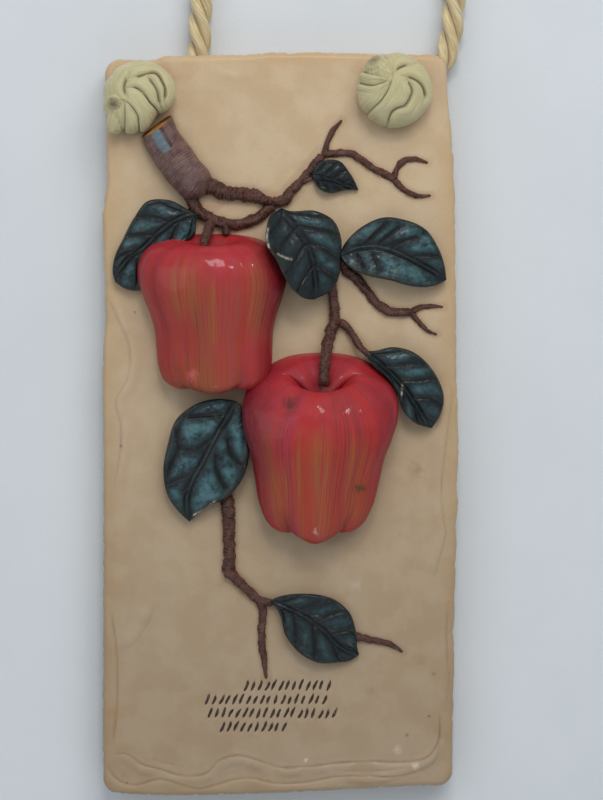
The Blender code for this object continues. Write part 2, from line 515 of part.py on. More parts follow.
def add_stems(relief):
    stems = (
        stem("branch", ((-41.0, 98.9, 2.6, 6.0), (-38.7, 93.7, 2.5, 6.1), (-35.0, 88.3, 2.4, 6.4),
                        (-31.5, 83.5, 2.2, 6.3), (-27.5, 79.4, 2.0, 6.0), (-24.5, 76.6, 1.6, 4.6)),
             sides=BRANCH_SIDES, step=2.6, lean=math.radians(12)),
        stem("upper_arm", ((-27.0, 79.5, 1.0, 3.0), (-23.5, 79.2, 1.0, 2.9), (-19.3, 77.3, 1.0, 2.4),
                           (-14.0, 76.7, 1.0, 2.3), (-8.3, 75.8, 1.0, 2.1), (-3.0, 74.0, 0.9, 1.9),
                           (1.5, 74.6, 0.8, 1.7), (4.0, 77.8, 0.6, 1.5), (7.3, 81.3, 0.5, 1.4),
                           (10.8, 85.5, 0.4, 1.4), (14.3, 89.8, 0.4, 1.3))),
        stem("lower_arm", ((-31.0, 79.0, 0.8, 1.8), (-29.7, 75.3, 1.0, 1.9), (-27.0, 71.0, 1.0, 1.9),
                           (-23.0, 68.3, 1.0, 1.9), (-17.3, 66.8, 1.0, 1.8), (-12.0, 66.8, 1.0, 1.8),
                           (-6.7, 69.3, 1.0, 1.8), (-2.0, 73.2, 0.8, 1.7))),
        stem("upper_fruit_stem", ((-22.6, 68.2, 1.5, 1.6), (-23.5, 65.3, 4.5, 1.6), (-24.5, 61.5, 7.5, 1.5),
                                  (-25.0, 57.5, 8.0, 1.4))),
        stem("stem_stub", ((-19.0, 67.0, 1.0, 1.3), (-18.0, 64.3, 1.8, 1.2), (-17.7, 62.6, 2.0, 1.0))),
        stem("twig_tip", ((14.6, 89.5, 0.3, 1.1), (15.6, 92.5, 0.3, 1.0), (16.4, 95.4, 0.2, 0.9),
                          (18.0, 98.2, 0.2, 0.9), (20.7, 101.3, 0.1, 0.8))),
        stem("twig_right", ((14.0, 89.8, 0.3, 1.2), (20.3, 90.3, 0.3, 1.2), (23.5, 90.2, 0.3, 1.2),
                            (26.7, 88.3, 0.3, 1.2), (30.7, 85.5, 0.3, 1.2), (34.7, 83.3, 0.3, 1.2),
                            (38.6, 81.6, 0.3, 1.2))),
        stem("twig_fork_up", ((38.0, 81.6, 0.2, 1.0), (39.0, 85.0, 0.2, 1.0), (41.0, 87.4, 0.2, 1.0),
                              (44.4, 88.3, 0.2, 0.9), (49.4, 87.0, 0.1, 0.8))),
        stem("twig_fork_down", ((38.0, 81.4, 0.2, 1.1), (40.5, 78.8, 0.2, 1.0), (44.0, 76.6, 0.2, 0.9),
                                (46.5, 76.0, 0.2, 0.8), (50.4, 76.2, 0.1, 0.7))),
        stem("leaf_small_stalk", ((7.5, 80.5, 0.6, 1.0), (11.5, 82.2, 1.2, 0.9))),
        stem("leaf_right_stalk", ((13.5, 62.0, 3.0, 1.3), (20.5, 56.5, 2.6, 1.2))),
        stem("side_twig", ((20.0, 55.5, 0.8, 1.7), (22.0, 51.4, 0.8, 1.7), (25.0, 48.7, 0.6, 1.6),
                           (29.0, 44.3, 0.5, 1.5), (32.7, 39.8, 0.5, 1.5), (36.3, 37.7, 0.5, 1.5),
                           (41.0, 37.2, 0.4, 1.4), (44.7, 37.7, 0.3, 1.2))),
        stem("side_twig_fork_up", ((44.0, 37.4, 0.3, 1.1), (47.0, 39.0, 0.2, 0.9), (50.0, 39.3, 0.2, 0.8),
                                   (54.5, 39.0, 0.1, 0.7))),
        stem("side_twig_fork_down", ((43.5, 37.4, 0.3, 1.1), (45.2, 35.2, 0.2, 0.9), (47.2, 33.1, 0.2, 0.8),
                                     (49.4, 31.0, 0.1, 0.7), (52.4, 29.8, 0.1, 0.7))),
        stem("lower_fruit_stem", ((17.0, 47.0, 3.0, 1.6), (17.8, 41.5, 2.0, 1.7), (18.2, 34.5, 2.2, 1.9),
                                  (16.7, 29.7, 4.0, 1.9), (15.6, 25.0, 7.5, 1.8), (14.8, 19.0, 9.5, 1.7),
                                  (14.6, 12.5, 9.0, 1.5)), step=2.6),
        stem("leaf_lower_right_stalk", ((18.4, 34.2, 1.2, 1.4), (21.5, 33.0, 1.2, 1.3), (24.2, 29.7, 1.8, 1.2),
                                        (26.8, 25.6, 3.2, 1.1), (30.0, 22.4, 4.6, 1.0))),
        stem("low_twig", ((-18.0, -23.0, 1.5, 2.4), (-17.3, -29.3, 1.0, 2.3), (-17.0, -35.0, 0.9, 1.9),
                          (-16.8, -39.7, 0.8, 1.8), (-16.7, -44.3, 0.8, 1.9), (-17.0, -48.7, 0.8, 2.1),
                          (-14.0, -52.3, 0.7, 1.6), (-10.3, -55.7, 0.6, 1.5), (-6.5, -58.9, 0.6, 1.5),
                          (-2.0, -59.6, 0.6, 1.2))),
        stem("low_twig_down", ((-6.4, -58.6, 0.5, 1.4), (-5.7, -63.0, 0.4, 1.3), (-6.0, -68.0, 0.4, 1.2),
                               (-6.0, -73.0, 0.3, 1.2), (-5.3, -78.7, 0.2, 1.0), (-4.5, -85.0, 0.1, 0.8))),
        stem("low_twig_right", ((22.0, -69.8, 0.4, 1.2), (25.3, -70.7, 0.4, 1.2), (30.9, -72.0, 0.3, 1.1),
                                (36.3, -73.2, 0.2, 0.9), (41.0, -76.0, 0.1, 0.7))),
    )
    for made in stems:
        as_helper(made, relief)


def main():
    clear_scene()
    half_width = SLAB_WIDTH / 2
    top = SLAB_HEIGHT / 2
    left_hole = (-half_width + LEFT_HOLE_IN, top - LEFT_HOLE_DOWN)
    right_hole = (half_width - RIGHT_HOLE_IN, top - RIGHT_HOLE_DOWN)

    plaque = make_slab()
    relief = bpy.data.collections.new("relief")
    add_folds(relief)
    add_fruits(relief)
    add_leaves(relief)
    add_stems(relief)
    join_or_cut(plaque, "UNION", relief)

    route = rope_route(left_hole, right_hole)
    whole = smooth_through(route, 400)
    run = np.concatenate([[0.0], np.cumsum(np.linalg.norm(np.diff(whole, axis=0), axis=1))])
    rope_ways = bpy.data.collections.new("rope_ways")
    start = ELBOW_REACH + ROPE_GAP
    rope_run = np.linspace(start, run[-1] - start, round((run[-1] - 2 * start) / ROPE_POINT_STEP))
    rope_path = np.column_stack([np.interp(rope_run, run, column) for column in whole.T])
    above = top + CHANNEL_PAST
    half_way = len(rope_path) // 2
    left_way = [left_hole] + [place for place in rope_path[:half_way] if place[1] < above]
    right_way = [right_hole] + [place for place in rope_path[:half_way:-1] if place[1] < above]
    as_helper(channel_cutter("left_channel", left_way), rope_ways)
    as_helper(channel_cutter("right_channel", right_way), rope_ways)
    as_helper(hole_cutter("left_hole", left_hole), rope_ways)
    as_helper(hole_cutter("right_hole", right_hole), rope_ways)
    join_or_cut(plaque, "DIFFERENCE", rope_ways)
    rope = make_rope(rope_path)

    left_ahead = (rope_path[1] - rope_path[0]) / np.linalg.norm(rope_path[1] - rope_path[0])
    right_ahead = (rope_path[-2] - rope_path[-1]) / np.linalg.norm(rope_path[-2] - rope_path[-1])
    left_end = rope_path[0] - left_ahead * ROPE_GAP
    right_end = rope_path[-1] - right_ahead * ROPE_GAP
    left_stub = ((left_hole[0] - 3.0, left_hole[1] - 1.0, 5.0, STUB_RADIUS),
                 (left_hole[0] - 7.0, left_hole[1] - 4.5, 4.6, STUB_RADIUS),
                 (left_hole[0] - 7.6, left_hole[1] - 9.5, 3.8, 2.4))
    right_stub = ((right_hole[0] - 1.5, right_hole[1] + 3.0, 6.0, STUB_RADIUS),
                  (right_hole[0] - 4.5, right_hole[1] + 7.0, 5.2, STUB_RADIUS),
                  (right_hole[0] - 7.2, right_hole[1] + 10.5, 4.4, STUB_RADIUS))
    left_knot = make_knot("knot_left", (left_hole[0] + 1.2, left_hole[1] + 1.7), left_hole, left_end,
                          left_ahead, (math.radians(-46), 4.2), left_stub)
    right_knot = make_knot("knot_right", (right_hole[0] + 0.6, right_hole[1] - 0.3), right_hole,
                           right_end, right_ahead, (math.radians(200), 0.0), right_stub)

    plaque.data.materials.append(make_material("cast_resin", (0.62, 0.48, 0.33), 0.45))
    rope.data.materials.append(make_material("rope_straw", (0.66, 0.58, 0.38), 0.5))
    knot_straw = make_material("knot_straw", (0.52, 0.50, 0.32), 0.5)
    left_knot.data.materials.append(knot_straw)
    right_knot.data.materials.append(knot_straw)


main()
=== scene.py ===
# %% Load the frame
import json
import math

import bmesh
import bpy
import numpy as np
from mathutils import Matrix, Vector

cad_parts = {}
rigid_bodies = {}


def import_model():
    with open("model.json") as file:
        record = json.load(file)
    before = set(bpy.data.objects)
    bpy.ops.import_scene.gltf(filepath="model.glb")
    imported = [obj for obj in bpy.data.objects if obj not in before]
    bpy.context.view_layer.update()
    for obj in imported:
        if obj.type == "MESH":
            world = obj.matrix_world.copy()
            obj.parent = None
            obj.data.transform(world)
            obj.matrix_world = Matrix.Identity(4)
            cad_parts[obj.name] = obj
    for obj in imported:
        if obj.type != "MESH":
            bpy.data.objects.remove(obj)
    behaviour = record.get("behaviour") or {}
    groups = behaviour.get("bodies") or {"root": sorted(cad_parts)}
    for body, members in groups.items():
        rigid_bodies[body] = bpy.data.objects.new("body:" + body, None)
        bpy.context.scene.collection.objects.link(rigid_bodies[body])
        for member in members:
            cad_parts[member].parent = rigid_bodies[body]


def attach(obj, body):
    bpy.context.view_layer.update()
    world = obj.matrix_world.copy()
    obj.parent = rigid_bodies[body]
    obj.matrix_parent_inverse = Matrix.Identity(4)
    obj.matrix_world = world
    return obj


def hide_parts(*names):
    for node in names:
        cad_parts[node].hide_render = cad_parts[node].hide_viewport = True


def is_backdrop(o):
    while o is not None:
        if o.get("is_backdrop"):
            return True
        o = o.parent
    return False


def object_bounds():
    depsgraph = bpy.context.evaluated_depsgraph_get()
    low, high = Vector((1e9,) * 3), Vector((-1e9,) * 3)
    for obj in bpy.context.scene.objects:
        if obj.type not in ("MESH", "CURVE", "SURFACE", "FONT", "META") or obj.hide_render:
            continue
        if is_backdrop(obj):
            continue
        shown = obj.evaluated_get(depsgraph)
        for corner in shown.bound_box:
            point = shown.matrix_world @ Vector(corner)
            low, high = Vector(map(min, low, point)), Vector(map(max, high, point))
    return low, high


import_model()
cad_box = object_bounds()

# %% [markdown]
# This lesson builds a painted wall plaque: a cast slab with two fruits, their leaves and their branch
# in relief, hung by a thick twisted rope. The CAD solids fix where everything is, and each piece below
# takes the place of one of them. Sizes are in millimetres, x to the right, z up, and a rise counts
# from the slab's front face.

# %% Shared sizes
MM = 0.001
SLAB_WIDTH = 119.6
SLAB_HEIGHT = 248.6
SLAB_THICKNESS = 12.0
HALF_WIDTH = SLAB_WIDTH / 2
HALF_HEIGHT = SLAB_HEIGHT / 2
RELIEF_SINK = 3.0
ROPE_RADIUS = 4.0
ROPE_GAP = 0.3
LEFT_HOLE = (-HALF_WIDTH + 12.3, HALF_HEIGHT - 17.8)
RIGHT_HOLE = (HALF_WIDTH - 22.5, HALF_HEIGHT - 13.3)
FINE = 1.0
chance = np.random.default_rng(11)
print("slab", SLAB_WIDTH, "x", SLAB_HEIGHT, "x", SLAB_THICKNESS, "mm, mesh fineness", FINE)

# %% [markdown]
# A product photograph is taken straight on with a long lens, so that the sides hardly show. Three
# pixels of the picture are one millimetre on the slab's front, and the lens follows from that.

# %% Camera
CAMERA_DISTANCE = 0.9
VIEW_HEIGHT = 0.26667
VIEW_CENTRE_X = 0.00717
VIEW_CENTRE_Z = 0.008
SENSOR = 36.0
camera_data = bpy.data.cameras.new("camera")
camera_data.sensor_width = SENSOR
camera_data.lens = SENSOR * CAMERA_DISTANCE / VIEW_HEIGHT
camera = bpy.data.objects.new("camera", camera_data)
camera.location = (VIEW_CENTRE_X, -CAMERA_DISTANCE - SLAB_THICKNESS * MM, VIEW_CENTRE_Z)
camera.rotation_euler = (math.pi / 2, 0.0, 0.0)
bpy.context.scene.collection.objects.link(camera)
bpy.context.scene.camera = camera
print("lens", round(camera_data.lens, 1), "mm")

# %% [markdown]
# A few helpers serve every step: a smooth curve through given points, a sum of slow waves that
# stands for the unevenness of hand work, the distance from many places to a set of drawn lines, and a
# mesh maker that also stores values on the vertices, which the paint reads later. Tubes and slabs are
# made of rings of points, so there are helpers for a ring's turn and for the faces between two rings.

# %% Helpers
CURVE_FINENESS = 40
MERGE_DISTANCE = 2e-6
FAR_AWAY = 1e9


def world(x, z, rise):
    """Places on the relief, in metres."""
    rise = np.asarray(rise, float)
    return np.stack([np.asarray(x, float) * MM + 0 * rise, -(SLAB_THICKNESS + rise) * MM,
                     np.asarray(z, float) * MM + 0 * rise], axis=-1)


def smooth_through(points, count, spread=2):
    """Evenly spaced places on a smooth curve through the points. Distance counts the first columns."""
    points = np.array(points, float)
    gaps = np.linalg.norm(np.diff(points[:, :spread], axis=0), axis=1)
    knots = np.concatenate([[0.0], np.cumsum(gaps)])
    slopes = np.diff(points, axis=0) / gaps[:, None]
    tangents = np.vstack([slopes[:1], slopes[:1], slopes[-1:]])
    if len(points) > 2:
        before = gaps[:-1, None]
        after = gaps[1:, None]
        inner = (slopes[:-1] * after + slopes[1:] * before) / (before + after)
        tangents = np.vstack([slopes[:1], inner, slopes[-1:]])
    fine = np.linspace(0.0, knots[-1], CURVE_FINENESS * len(points))
    place = np.clip(np.searchsorted(knots, fine, side="right") - 1, 0, len(gaps) - 1)
    gap = gaps[place][:, None]
    t = (fine - knots[place])[:, None] / gap
    curve = ((2 * t**3 - 3 * t**2 + 1) * points[place] + (t**3 - 2 * t**2 + t) * gap * tangents[place]
             + (3 * t**2 - 2 * t**3) * points[place + 1] + (t**3 - t**2) * gap * tangents[place + 1])
    run = run_along(curve[:, :spread])
    wanted = np.linspace(0.0, run[-1], count)
    return np.column_stack([np.interp(wanted, run, column) for column in curve.T])


def run_along(places):
    """How far along a line each of its places lies."""
    return np.concatenate([[0.0], np.cumsum(np.linalg.norm(np.diff(places, axis=0), axis=1))])


def way_along(path):
    """The direction of a line at each of its places."""
    ahead = np.gradient(path, axis=0)
    return ahead / np.linalg.norm(ahead, axis=1)[:, None]


def full_turn(count):
    """Angles once round, evenly spaced."""
    return np.linspace(0, 2 * math.pi, count, endpoint=False)


def waves(places, size, seed, count=9):
    """Slow unevenness between about -1 and 1, from a few waves in random directions."""
    places = np.asarray(places, float)
    draw = np.random.default_rng(seed)
    total = np.zeros(places.shape[:-1])
    for _ in range(count):
        way = draw.normal(size=places.shape[-1])
        way *= draw.uniform(0.6, 1.8) / np.linalg.norm(way) / size
        total += np.sin(2 * math.pi * (places @ way) + draw.uniform(0, 2 * math.pi))
    return total / math.sqrt(count)


def nearest_line(places, lines):
    """Distance, side and run of the nearest of the lines, for each place."""
    places = np.asarray(places, float)
    flat = places.reshape(-1, 2)
    best = np.full(len(flat), FAR_AWAY)
    side = np.zeros(len(flat))
    along = np.zeros(len(flat))
    for line in lines:
        line = np.asarray(line, float)[:, :2]
        run = run_along(line)
        for start, end, begun in zip(line, line[1:], run):
            step = end - start
            length = np.linalg.norm(step)
            offset = flat - start
            share = np.clip(offset @ step / length**2, 0.0, 1.0)
            gap = np.linalg.norm(offset - share[:, None] * step, axis=1)
            closer = gap < best
            best[closer] = gap[closer]
            turn = step[0] * offset[:, 1] - step[1] * offset[:, 0]
            side[closer] = np.sign(turn[closer])
            along[closer] = begun + share[closer] * length
    shape = places.shape[:-1]
    return best.reshape(shape), side.reshape(shape), along.reshape(shape)


def hump(distance, width):
    """A soft bump, 1 in the middle and near 0 at twice its width."""
    return np.exp(-(np.asarray(distance) / width) ** 2)


def bridged(ring_count, ring_size, closed_ring=True):
    """Quads between rings of points stored one after another."""
    last = ring_size if closed_ring else ring_size - 1
    here = np.arange(ring_count - 1)[:, None] * ring_size + np.arange(last)[None, :]
    beside = np.arange(ring_count - 1)[:, None] * ring_size + (np.arange(last)[None, :] + 1) % ring_size
    return np.stack([here, beside, beside + ring_size, here + ring_size], axis=-1).reshape(-1, 4).tolist()


def capped_tube(ring_count, ring_size):
    """The faces of a tube with a cap on each end."""
    last = (ring_count - 1) * ring_size
    return bridged(ring_count, ring_size) + [list(range(ring_size)), list(range(last, last + ring_size))]


def joined(first, second):
    """Quads between two closed rings, given by the numbers of their points."""
    return np.stack([first, np.roll(first, -1), np.roll(second, -1), second], axis=-1).tolist()


def keep_value(mesh, name, value):
    """Stores a value on every vertex, for the paint to read."""
    kept = mesh.attributes.get(name) or mesh.attributes.new(name, "FLOAT", "POINT")
    kept.data.foreach_set("value", np.asarray(value, np.float32).ravel())


def places_of(piece):
    """The vertices of a piece, in millimetres."""
    places = np.zeros(len(piece.data.vertices) * 3)
    piece.data.vertices.foreach_get("co", places)
    return places.reshape(-1, 3) / MM


def make_mesh(name, vertices, faces, values=None):
    """An object from vertices in metres, with smooth faces and named values on its vertices."""
    mesh = bpy.data.meshes.new(name)
    mesh.from_pydata(np.asarray(vertices).reshape(-1, 3).tolist(), [], faces)
    for value_name, value in (values or {}).items():
        keep_value(mesh, value_name, value)
    shape = bmesh.new()
    shape.from_mesh(mesh)
    bmesh.ops.remove_doubles(shape, verts=shape.verts, dist=MERGE_DISTANCE)
    bmesh.ops.recalc_face_normals(shape, faces=shape.faces)
    shape.to_mesh(mesh)
    shape.free()
    mesh.shade_smooth()
    made = bpy.data.objects.new(name, mesh)
    bpy.context.scene.collection.objects.link(made)
    return made


def dress(piece, material, node="plaque"):
    """Gives a piece its paint, ties it to the root body and hides the CAD solid it stands for."""
    piece.data.materials.append(material)
    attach(piece, "root")
    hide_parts(node)
    print(piece.name, len(piece.data.polygons), "faces")
    return piece


print("vertices closer than", MERGE_DISTANCE, "m are merged")

# %% [markdown]
# Paint on a casting is never one flat colour. It is mottled, it gathers darker in the hollows, and a
# nearly dry brush leaves lighter paint on the ridges. The same darker wash also lays painted shade in
# some hollows and on the shaded flanks of the fruits. Each of these effects is a node group, built once
# and used by every material that shows it, with its colours and sizes as named inputs.


# %% Paint effects
LEAST_WASH = 0.65
RAGGEDNESS = 2.4


def rgb(red, green, blue):
    """A colour as a screen shows it, turned into the linear values that the nodes use."""
    return tuple(((c / 255 + 0.055) / 1.055) ** 2.4 if c > 10 else c / 255 / 12.92
                 for c in (red, green, blue)) + (1.0,)


def fill(tree, made, sockets):
    """Links or sets the inputs of a node."""
    for key, value in sockets.items():
        if isinstance(value, bpy.types.NodeSocket):
            tree.links.new(value, made.inputs[key])
        else:
            made.inputs[key].default_value = value


def node(tree, kind, sockets=None, **settings):
    """A node with its settings, and with values or links for its sockets."""
    made = tree.nodes.new(kind)
    for key, value in settings.items():
        setattr(made, key, value)
    fill(tree, made, sockets or {})
    return made


def new_group(name, inputs, outputs):
    """A node group with named inputs and outputs, and its inner input and output nodes."""
    group = bpy.data.node_groups.new(name, "ShaderNodeTree")
    for socket, kind, value in inputs:
        made = group.interface.new_socket(socket, in_out="INPUT", socket_type="NodeSocket" + kind)
        if value is not None:
            made.default_value = value
    for socket, kind in outputs:
        group.interface.new_socket(socket, in_out="OUTPUT", socket_type="NodeSocket" + kind)
    return group, group.nodes.new("NodeGroupInput"), group.nodes.new("NodeGroupOutput")


def millimetres(tree, stretch=(1.0, 1.0, 1.0)):
    """The place on the piece in millimetres, stretched for streaks."""
    place = node(tree, "ShaderNodeTexCoord")
    factor = tuple(share / MM for share in stretch)
    scaled = node(tree, "ShaderNodeVectorMath", {0: place.outputs["Object"], 1: factor}, operation="MULTIPLY")
    return scaled.outputs[0]


def math_node(tree, operation, first, second=0.0, clamp=False):
    made = node(tree, "ShaderNodeMath", {0: first, 1: second}, operation=operation, use_clamp=clamp)
    return made.outputs[0]


def times(tree, first, second, clamp=False):
    return math_node(tree, "MULTIPLY", first, second, clamp)


def stored_value(tree, name):
    """A value that was kept on the vertices."""
    return node(tree, "ShaderNodeAttribute", attribute_name=name, attribute_type="GEOMETRY").outputs["Fac"]


def stretched_place(tree, first, second):
    """A place for noise from two stored values, each with its scale."""
    x, y = (times(tree, stored_value(tree, name), scale) for name, scale in (first, second))
    return node(tree, "ShaderNodeCombineXYZ", {"X": x, "Y": y}).outputs[0]


def mix_colour(tree, factor, first, second, blend="MIX"):
    sockets = {0: factor, 6: first, 7: second}
    return node(tree, "ShaderNodeMix", sockets, data_type="RGBA", blend_type=blend).outputs[2]


def noise(tree, vector, scale, detail=3.0, roughness=0.55):
    return node(tree, "ShaderNodeTexNoise", {"Vector": vector, "Scale": scale, "Detail": detail,
                                             "Roughness": roughness}).outputs["Fac"]


def limits(tree, value, low, high):
    """Stretches the values between low and high to 0 and 1, smoothly."""
    return node(tree, "ShaderNodeMapRange", {0: value, 1: low, 2: high}, interpolation_type="SMOOTHSTEP",
                clamp=True).outputs[0]


def layered_group(name, over, inputs):
    """A group that lays a second colour over the first. Its other inputs shape the mask."""
    group, given, out = new_group(name, (("Color", "Color", None), (over, "Color", None), *inputs),
                                  (("Color", "Color"),))

    def finish(mask):
        mixed = mix_colour(group, mask, given.outputs["Color"], given.outputs[over])
        group.links.new(mixed, out.inputs["Color"])
        return group

    return group, given.outputs, finish


def build_mottle():
    """Broad soft patches of a second colour."""
    group, given, finish = layered_group("mottled_paint", "Patch Color",
                                         (("Density", "Float", 0.1), ("Amount", "Float", 0.5)))
    spread = noise(group, millimetres(group), given["Density"], 4.0)
    return finish(times(group, limits(group, spread, 0.38, 0.66), given["Amount"]))


def build_wash():
    """Thin dark paint that stays where the stored depth is high, a little unevenly; also used for painted
    shade.
    """
    group, given, finish = layered_group("wash_and_painted_shade", "Wash Color",
                                         (("Depth", "Float", 0.0), ("Amount", "Float", 1.0)))
    uneven = limits(group, noise(group, millimetres(group), 0.9), 0.2, 0.6)
    cover = math_node(group, "ADD", times(group, uneven, 1 - LEAST_WASH), LEAST_WASH)
    strong = times(group, given["Amount"], cover)
    return finish(times(group, given["Depth"], strong, clamp=True))


def build_dry_brush():
    """Broken paint on the high places."""
    group, given, finish = layered_group("dry_brushed_paint", "Brush Color",
                                         (("Height", "Float", 0.0), ("Amount", "Float", 1.0)))
    broken = limits(group, noise(group, millimetres(group), 0.24, 5.0, 0.7), 0.3, 0.7)
    return finish(times(group, times(group, given["Height"], broken), given["Amount"], clamp=True))


def build_streaks():
    """Brush strokes from top to foot, from noise stretched along the fruit's stored run."""
    group, given, finish = layered_group("brush_streaks", "Streak Color",
                                         (("Amount", "Float", 0.5), ("Shift", "Float", 0.0),
                                          ("Evenness", "Float", 0.0)))
    place = stretched_place(group, ("around", 1.5), ("down", 0.03))
    moved = node(group, "ShaderNodeVectorMath", {0: place, 1: given["Shift"]}, operation="ADD").outputs[0]
    fine = limits(group, noise(group, moved, 1.0, 3.0, 0.6), 0.36, 0.66)
    patches = limits(group, noise(group, moved, 0.1, 1.0), 0.36, 0.6)
    broad = math_node(group, "MAXIMUM", patches, given["Evenness"])
    return finish(times(group, times(group, fine, broad), given["Amount"], clamp=True))


def build_spot():
    """One round stain with a ragged edge, at a named place."""
    group, given, finish = layered_group("stain_spot", "Stain Color",
                                         (("Place", "Vector", None), ("Radius", "Float", 2.0),
                                          ("Amount", "Float", 0.5)))
    here = millimetres(group, (1.0, 0.0, 1.0))
    away = node(group, "ShaderNodeVectorMath", {0: here, 1: given["Place"]}, operation="DISTANCE")
    ragged = math_node(group, "ADD", math_node(group, "DIVIDE", away.outputs["Value"], given["Radius"]),
                       times(group, noise(group, here, 0.55, 5.0, 0.7), RAGGEDNESS))
    return finish(times(group, limits(group, ragged, 2.2, 1.0), given["Amount"], clamp=True))


def build_fibres():
    """Silky straw fibres which run along a strand, with painted shade in its grooves and a darker tone on cut
    ends.
    """
    group, given, out = new_group("straw_fibres", (("Color", "Color", None), ("Shade Color", "Color", None),
                                                   ("Groove Color", "Color", None)),
                                  (("Color", "Color"), ("Height", "Float")))
    place = stretched_place(group, ("across", 3.2), ("along", 0.16))
    fibre = noise(group, place, 1.0, 4.0, 0.6)
    tone = mix_colour(group, limits(group, fibre, 0.35, 0.68), given.outputs["Shade Color"],
                      given.outputs["Color"])
    mixed = mix_colour(group, stored_value(group, "groove"), tone, given.outputs["Groove Color"])
    group.links.new(mixed, out.inputs["Color"])
    group.links.new(fibre, out.inputs["Height"])
    return group


mottled_paint = build_mottle()
wash_and_painted_shade = build_wash()
dry_brushed_paint = build_dry_brush()
brush_streaks = build_streaks()
stain_spot = build_spot()
straw_fibres = build_fibres()
print("paint effects", len(bpy.data.node_groups))

# %% [markdown]
# A material is a shader with one chain of these effects before its colour. The short helpers below each
# add one link to the chain, so that a piece's paint reads from the first coat to the last.


# %% Materials
def new_material(name, roughness, coat=0.0):
    """A material, its tree and its shader."""
    material = bpy.data.materials.new(name)
    material.use_nodes = True
    shader = material.node_tree.nodes["Principled BSDF"]
    shader.inputs["Roughness"].default_value = roughness
    shader.inputs["Coat Weight"].default_value = coat
    shader.inputs["Coat Roughness"].default_value = 0.12
    return material, material.node_tree, shader


def effect(tree, group, **sockets):
    """One of the paint effects, as a node."""
    sockets = {key.replace("_", " "): value for key, value in sockets.items()}
    made = tree.nodes.new("ShaderNodeGroup")
    made.node_tree = group
    fill(tree, made, sockets)
    return made


def mottle(tree, colour, patch, density, amount):
    """Soft patches of a second colour over the first."""
    return effect(tree, mottled_paint, Color=colour, Patch_Color=patch, Density=density,
                  Amount=amount).outputs["Color"]


def wash(tree, colour, paint, value, amount):
    """Thin paint over the colour where the stored value says, which some pieces use for painted shade."""
    return effect(tree, wash_and_painted_shade, Color=colour, Wash_Color=paint, Depth=stored_value(tree, value),
                  Amount=amount).outputs["Color"]


def dry_brush(tree, colour, paint, value, amount):
    """Broken paint on the ridges, where the stored value says."""
    return effect(tree, dry_brushed_paint, Color=colour, Brush_Color=paint, Height=stored_value(tree, value),
                  Amount=amount).outputs["Color"]


def stains(tree, colour, spots):
    """All the stains of a piece, each with its place, radius, amount and colour."""
    for place, radius, amount, stain in spots:
        colour = effect(tree, stain_spot, Color=colour, Stain_Color=stain, Place=place, Radius=radius,
                        Amount=amount).outputs["Color"]
    return colour


def grain(tree, shader, height, distance, strength=1.0):
    """Fine surface unevenness as a bump on the shader."""
    bump = node(tree, "ShaderNodeBump", {"Height": height, "Distance": distance, "Strength": strength})
    tree.links.new(bump.outputs["Normal"], shader.inputs["Normal"])


print("materials so far", len(bpy.data.materials))

# %% [markdown]
# The plaque hangs against a plain pale wall. The wall lets the view through from behind, so that the
# plaque's back can be looked at, and light that starts close to it passes too, so that the back isn't
# black. One broad soft lamp stands above and to the right, as a window would, and a cool weak sky fills
# the shadows. The broad lamp is kept out of the gloss, and small lamps give the paint its sharp glints.

# %% Wall, floor and light
WALL_SIZE = 3.0
WALL_GAP = 0.001
WALL_COLOUR = rgb(222, 226, 229)
FLOOR_DROP = -0.6
BACK_LIGHT_REACH = 0.02
SKY_COLOUR = (0.86, 0.92, 1.0, 1.0)
SKY_STRENGTH = 0.36
# Each lamp: its place, the spot it looks at, its width, its power, its colour and whether it shows in gloss.
LAMPS = {
    "window_lamp": ((0.27, -0.76, 0.68), (0.0, 0.0, 0.06), 0.85, 4.85, (1.0, 0.985, 0.96), False),
    "glint_lamp": ((0.03, -0.75, 0.66), (0.0, 0.0, 0.0), 0.17, 1.1, (1.0, 0.99, 0.97), True),
    "side_glint_lamp": ((0.34, -0.75, 0.64), (0.0, 0.0, 0.0), 0.05, 0.2, (1.0, 1.0, 1.0), True),
    "low_glint_lamp": ((0.03, -0.52, -0.46), (0.0, 0.0, -0.03), 0.08, 0.16, (1.0, 1.0, 1.0), True),
    "fill_lamp": ((-0.7, -0.9, 0.3), (0.0, 0.0, 0.0), 0.8, 1.6, (0.93, 0.96, 1.0), True),
}


def pale_plane(name, place, turn):
    """A square of plain pale wall or floor, see-through from behind."""
    data = bpy.data.meshes.new(name)
    half = WALL_SIZE / 2
    corners = [(-half, -half, 0), (half, -half, 0), (half, half, 0), (-half, half, 0)]
    data.from_pydata(corners, [], [(0, 1, 2, 3)])
    made = bpy.data.objects.new(name, data)
    made.location = place
    made.rotation_euler = turn
    bpy.context.scene.collection.objects.link(made)
    material, tree, shader = new_material(name, 0.85)
    tree.links.new(mottle(tree, WALL_COLOUR, rgb(214, 219, 222), 0.02, 0.35), shader.inputs["Base Color"])
    grain(tree, shader, noise(tree, millimetres(tree), 0.8, 4.0), 0.0003, 0.25)
    clear = node(tree, "ShaderNodeBsdfTransparent")
    behind = node(tree, "ShaderNodeNewGeometry").outputs["Backfacing"]
    light_path = node(tree, "ShaderNodeLightPath")
    close = math_node(tree, "LESS_THAN", light_path.outputs["Ray Length"], BACK_LIGHT_REACH)
    from_back = times(tree, close, light_path.outputs["Is Diffuse Ray"])
    open_share = math_node(tree, "MAXIMUM", behind, from_back)
    blended = node(tree, "ShaderNodeMixShader", {0: open_share, 1: shader.outputs[0], 2: clear.outputs[0]})
    tree.links.new(blended.outputs[0], tree.nodes["Material Output"].inputs["Surface"])
    data.materials.append(material)
    made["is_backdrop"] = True


pale_plane("wall", (0, WALL_GAP, 0), (math.pi / 2, 0, 0))
pale_plane("floor", (0, -WALL_SIZE / 2, FLOOR_DROP), (0, 0, 0))


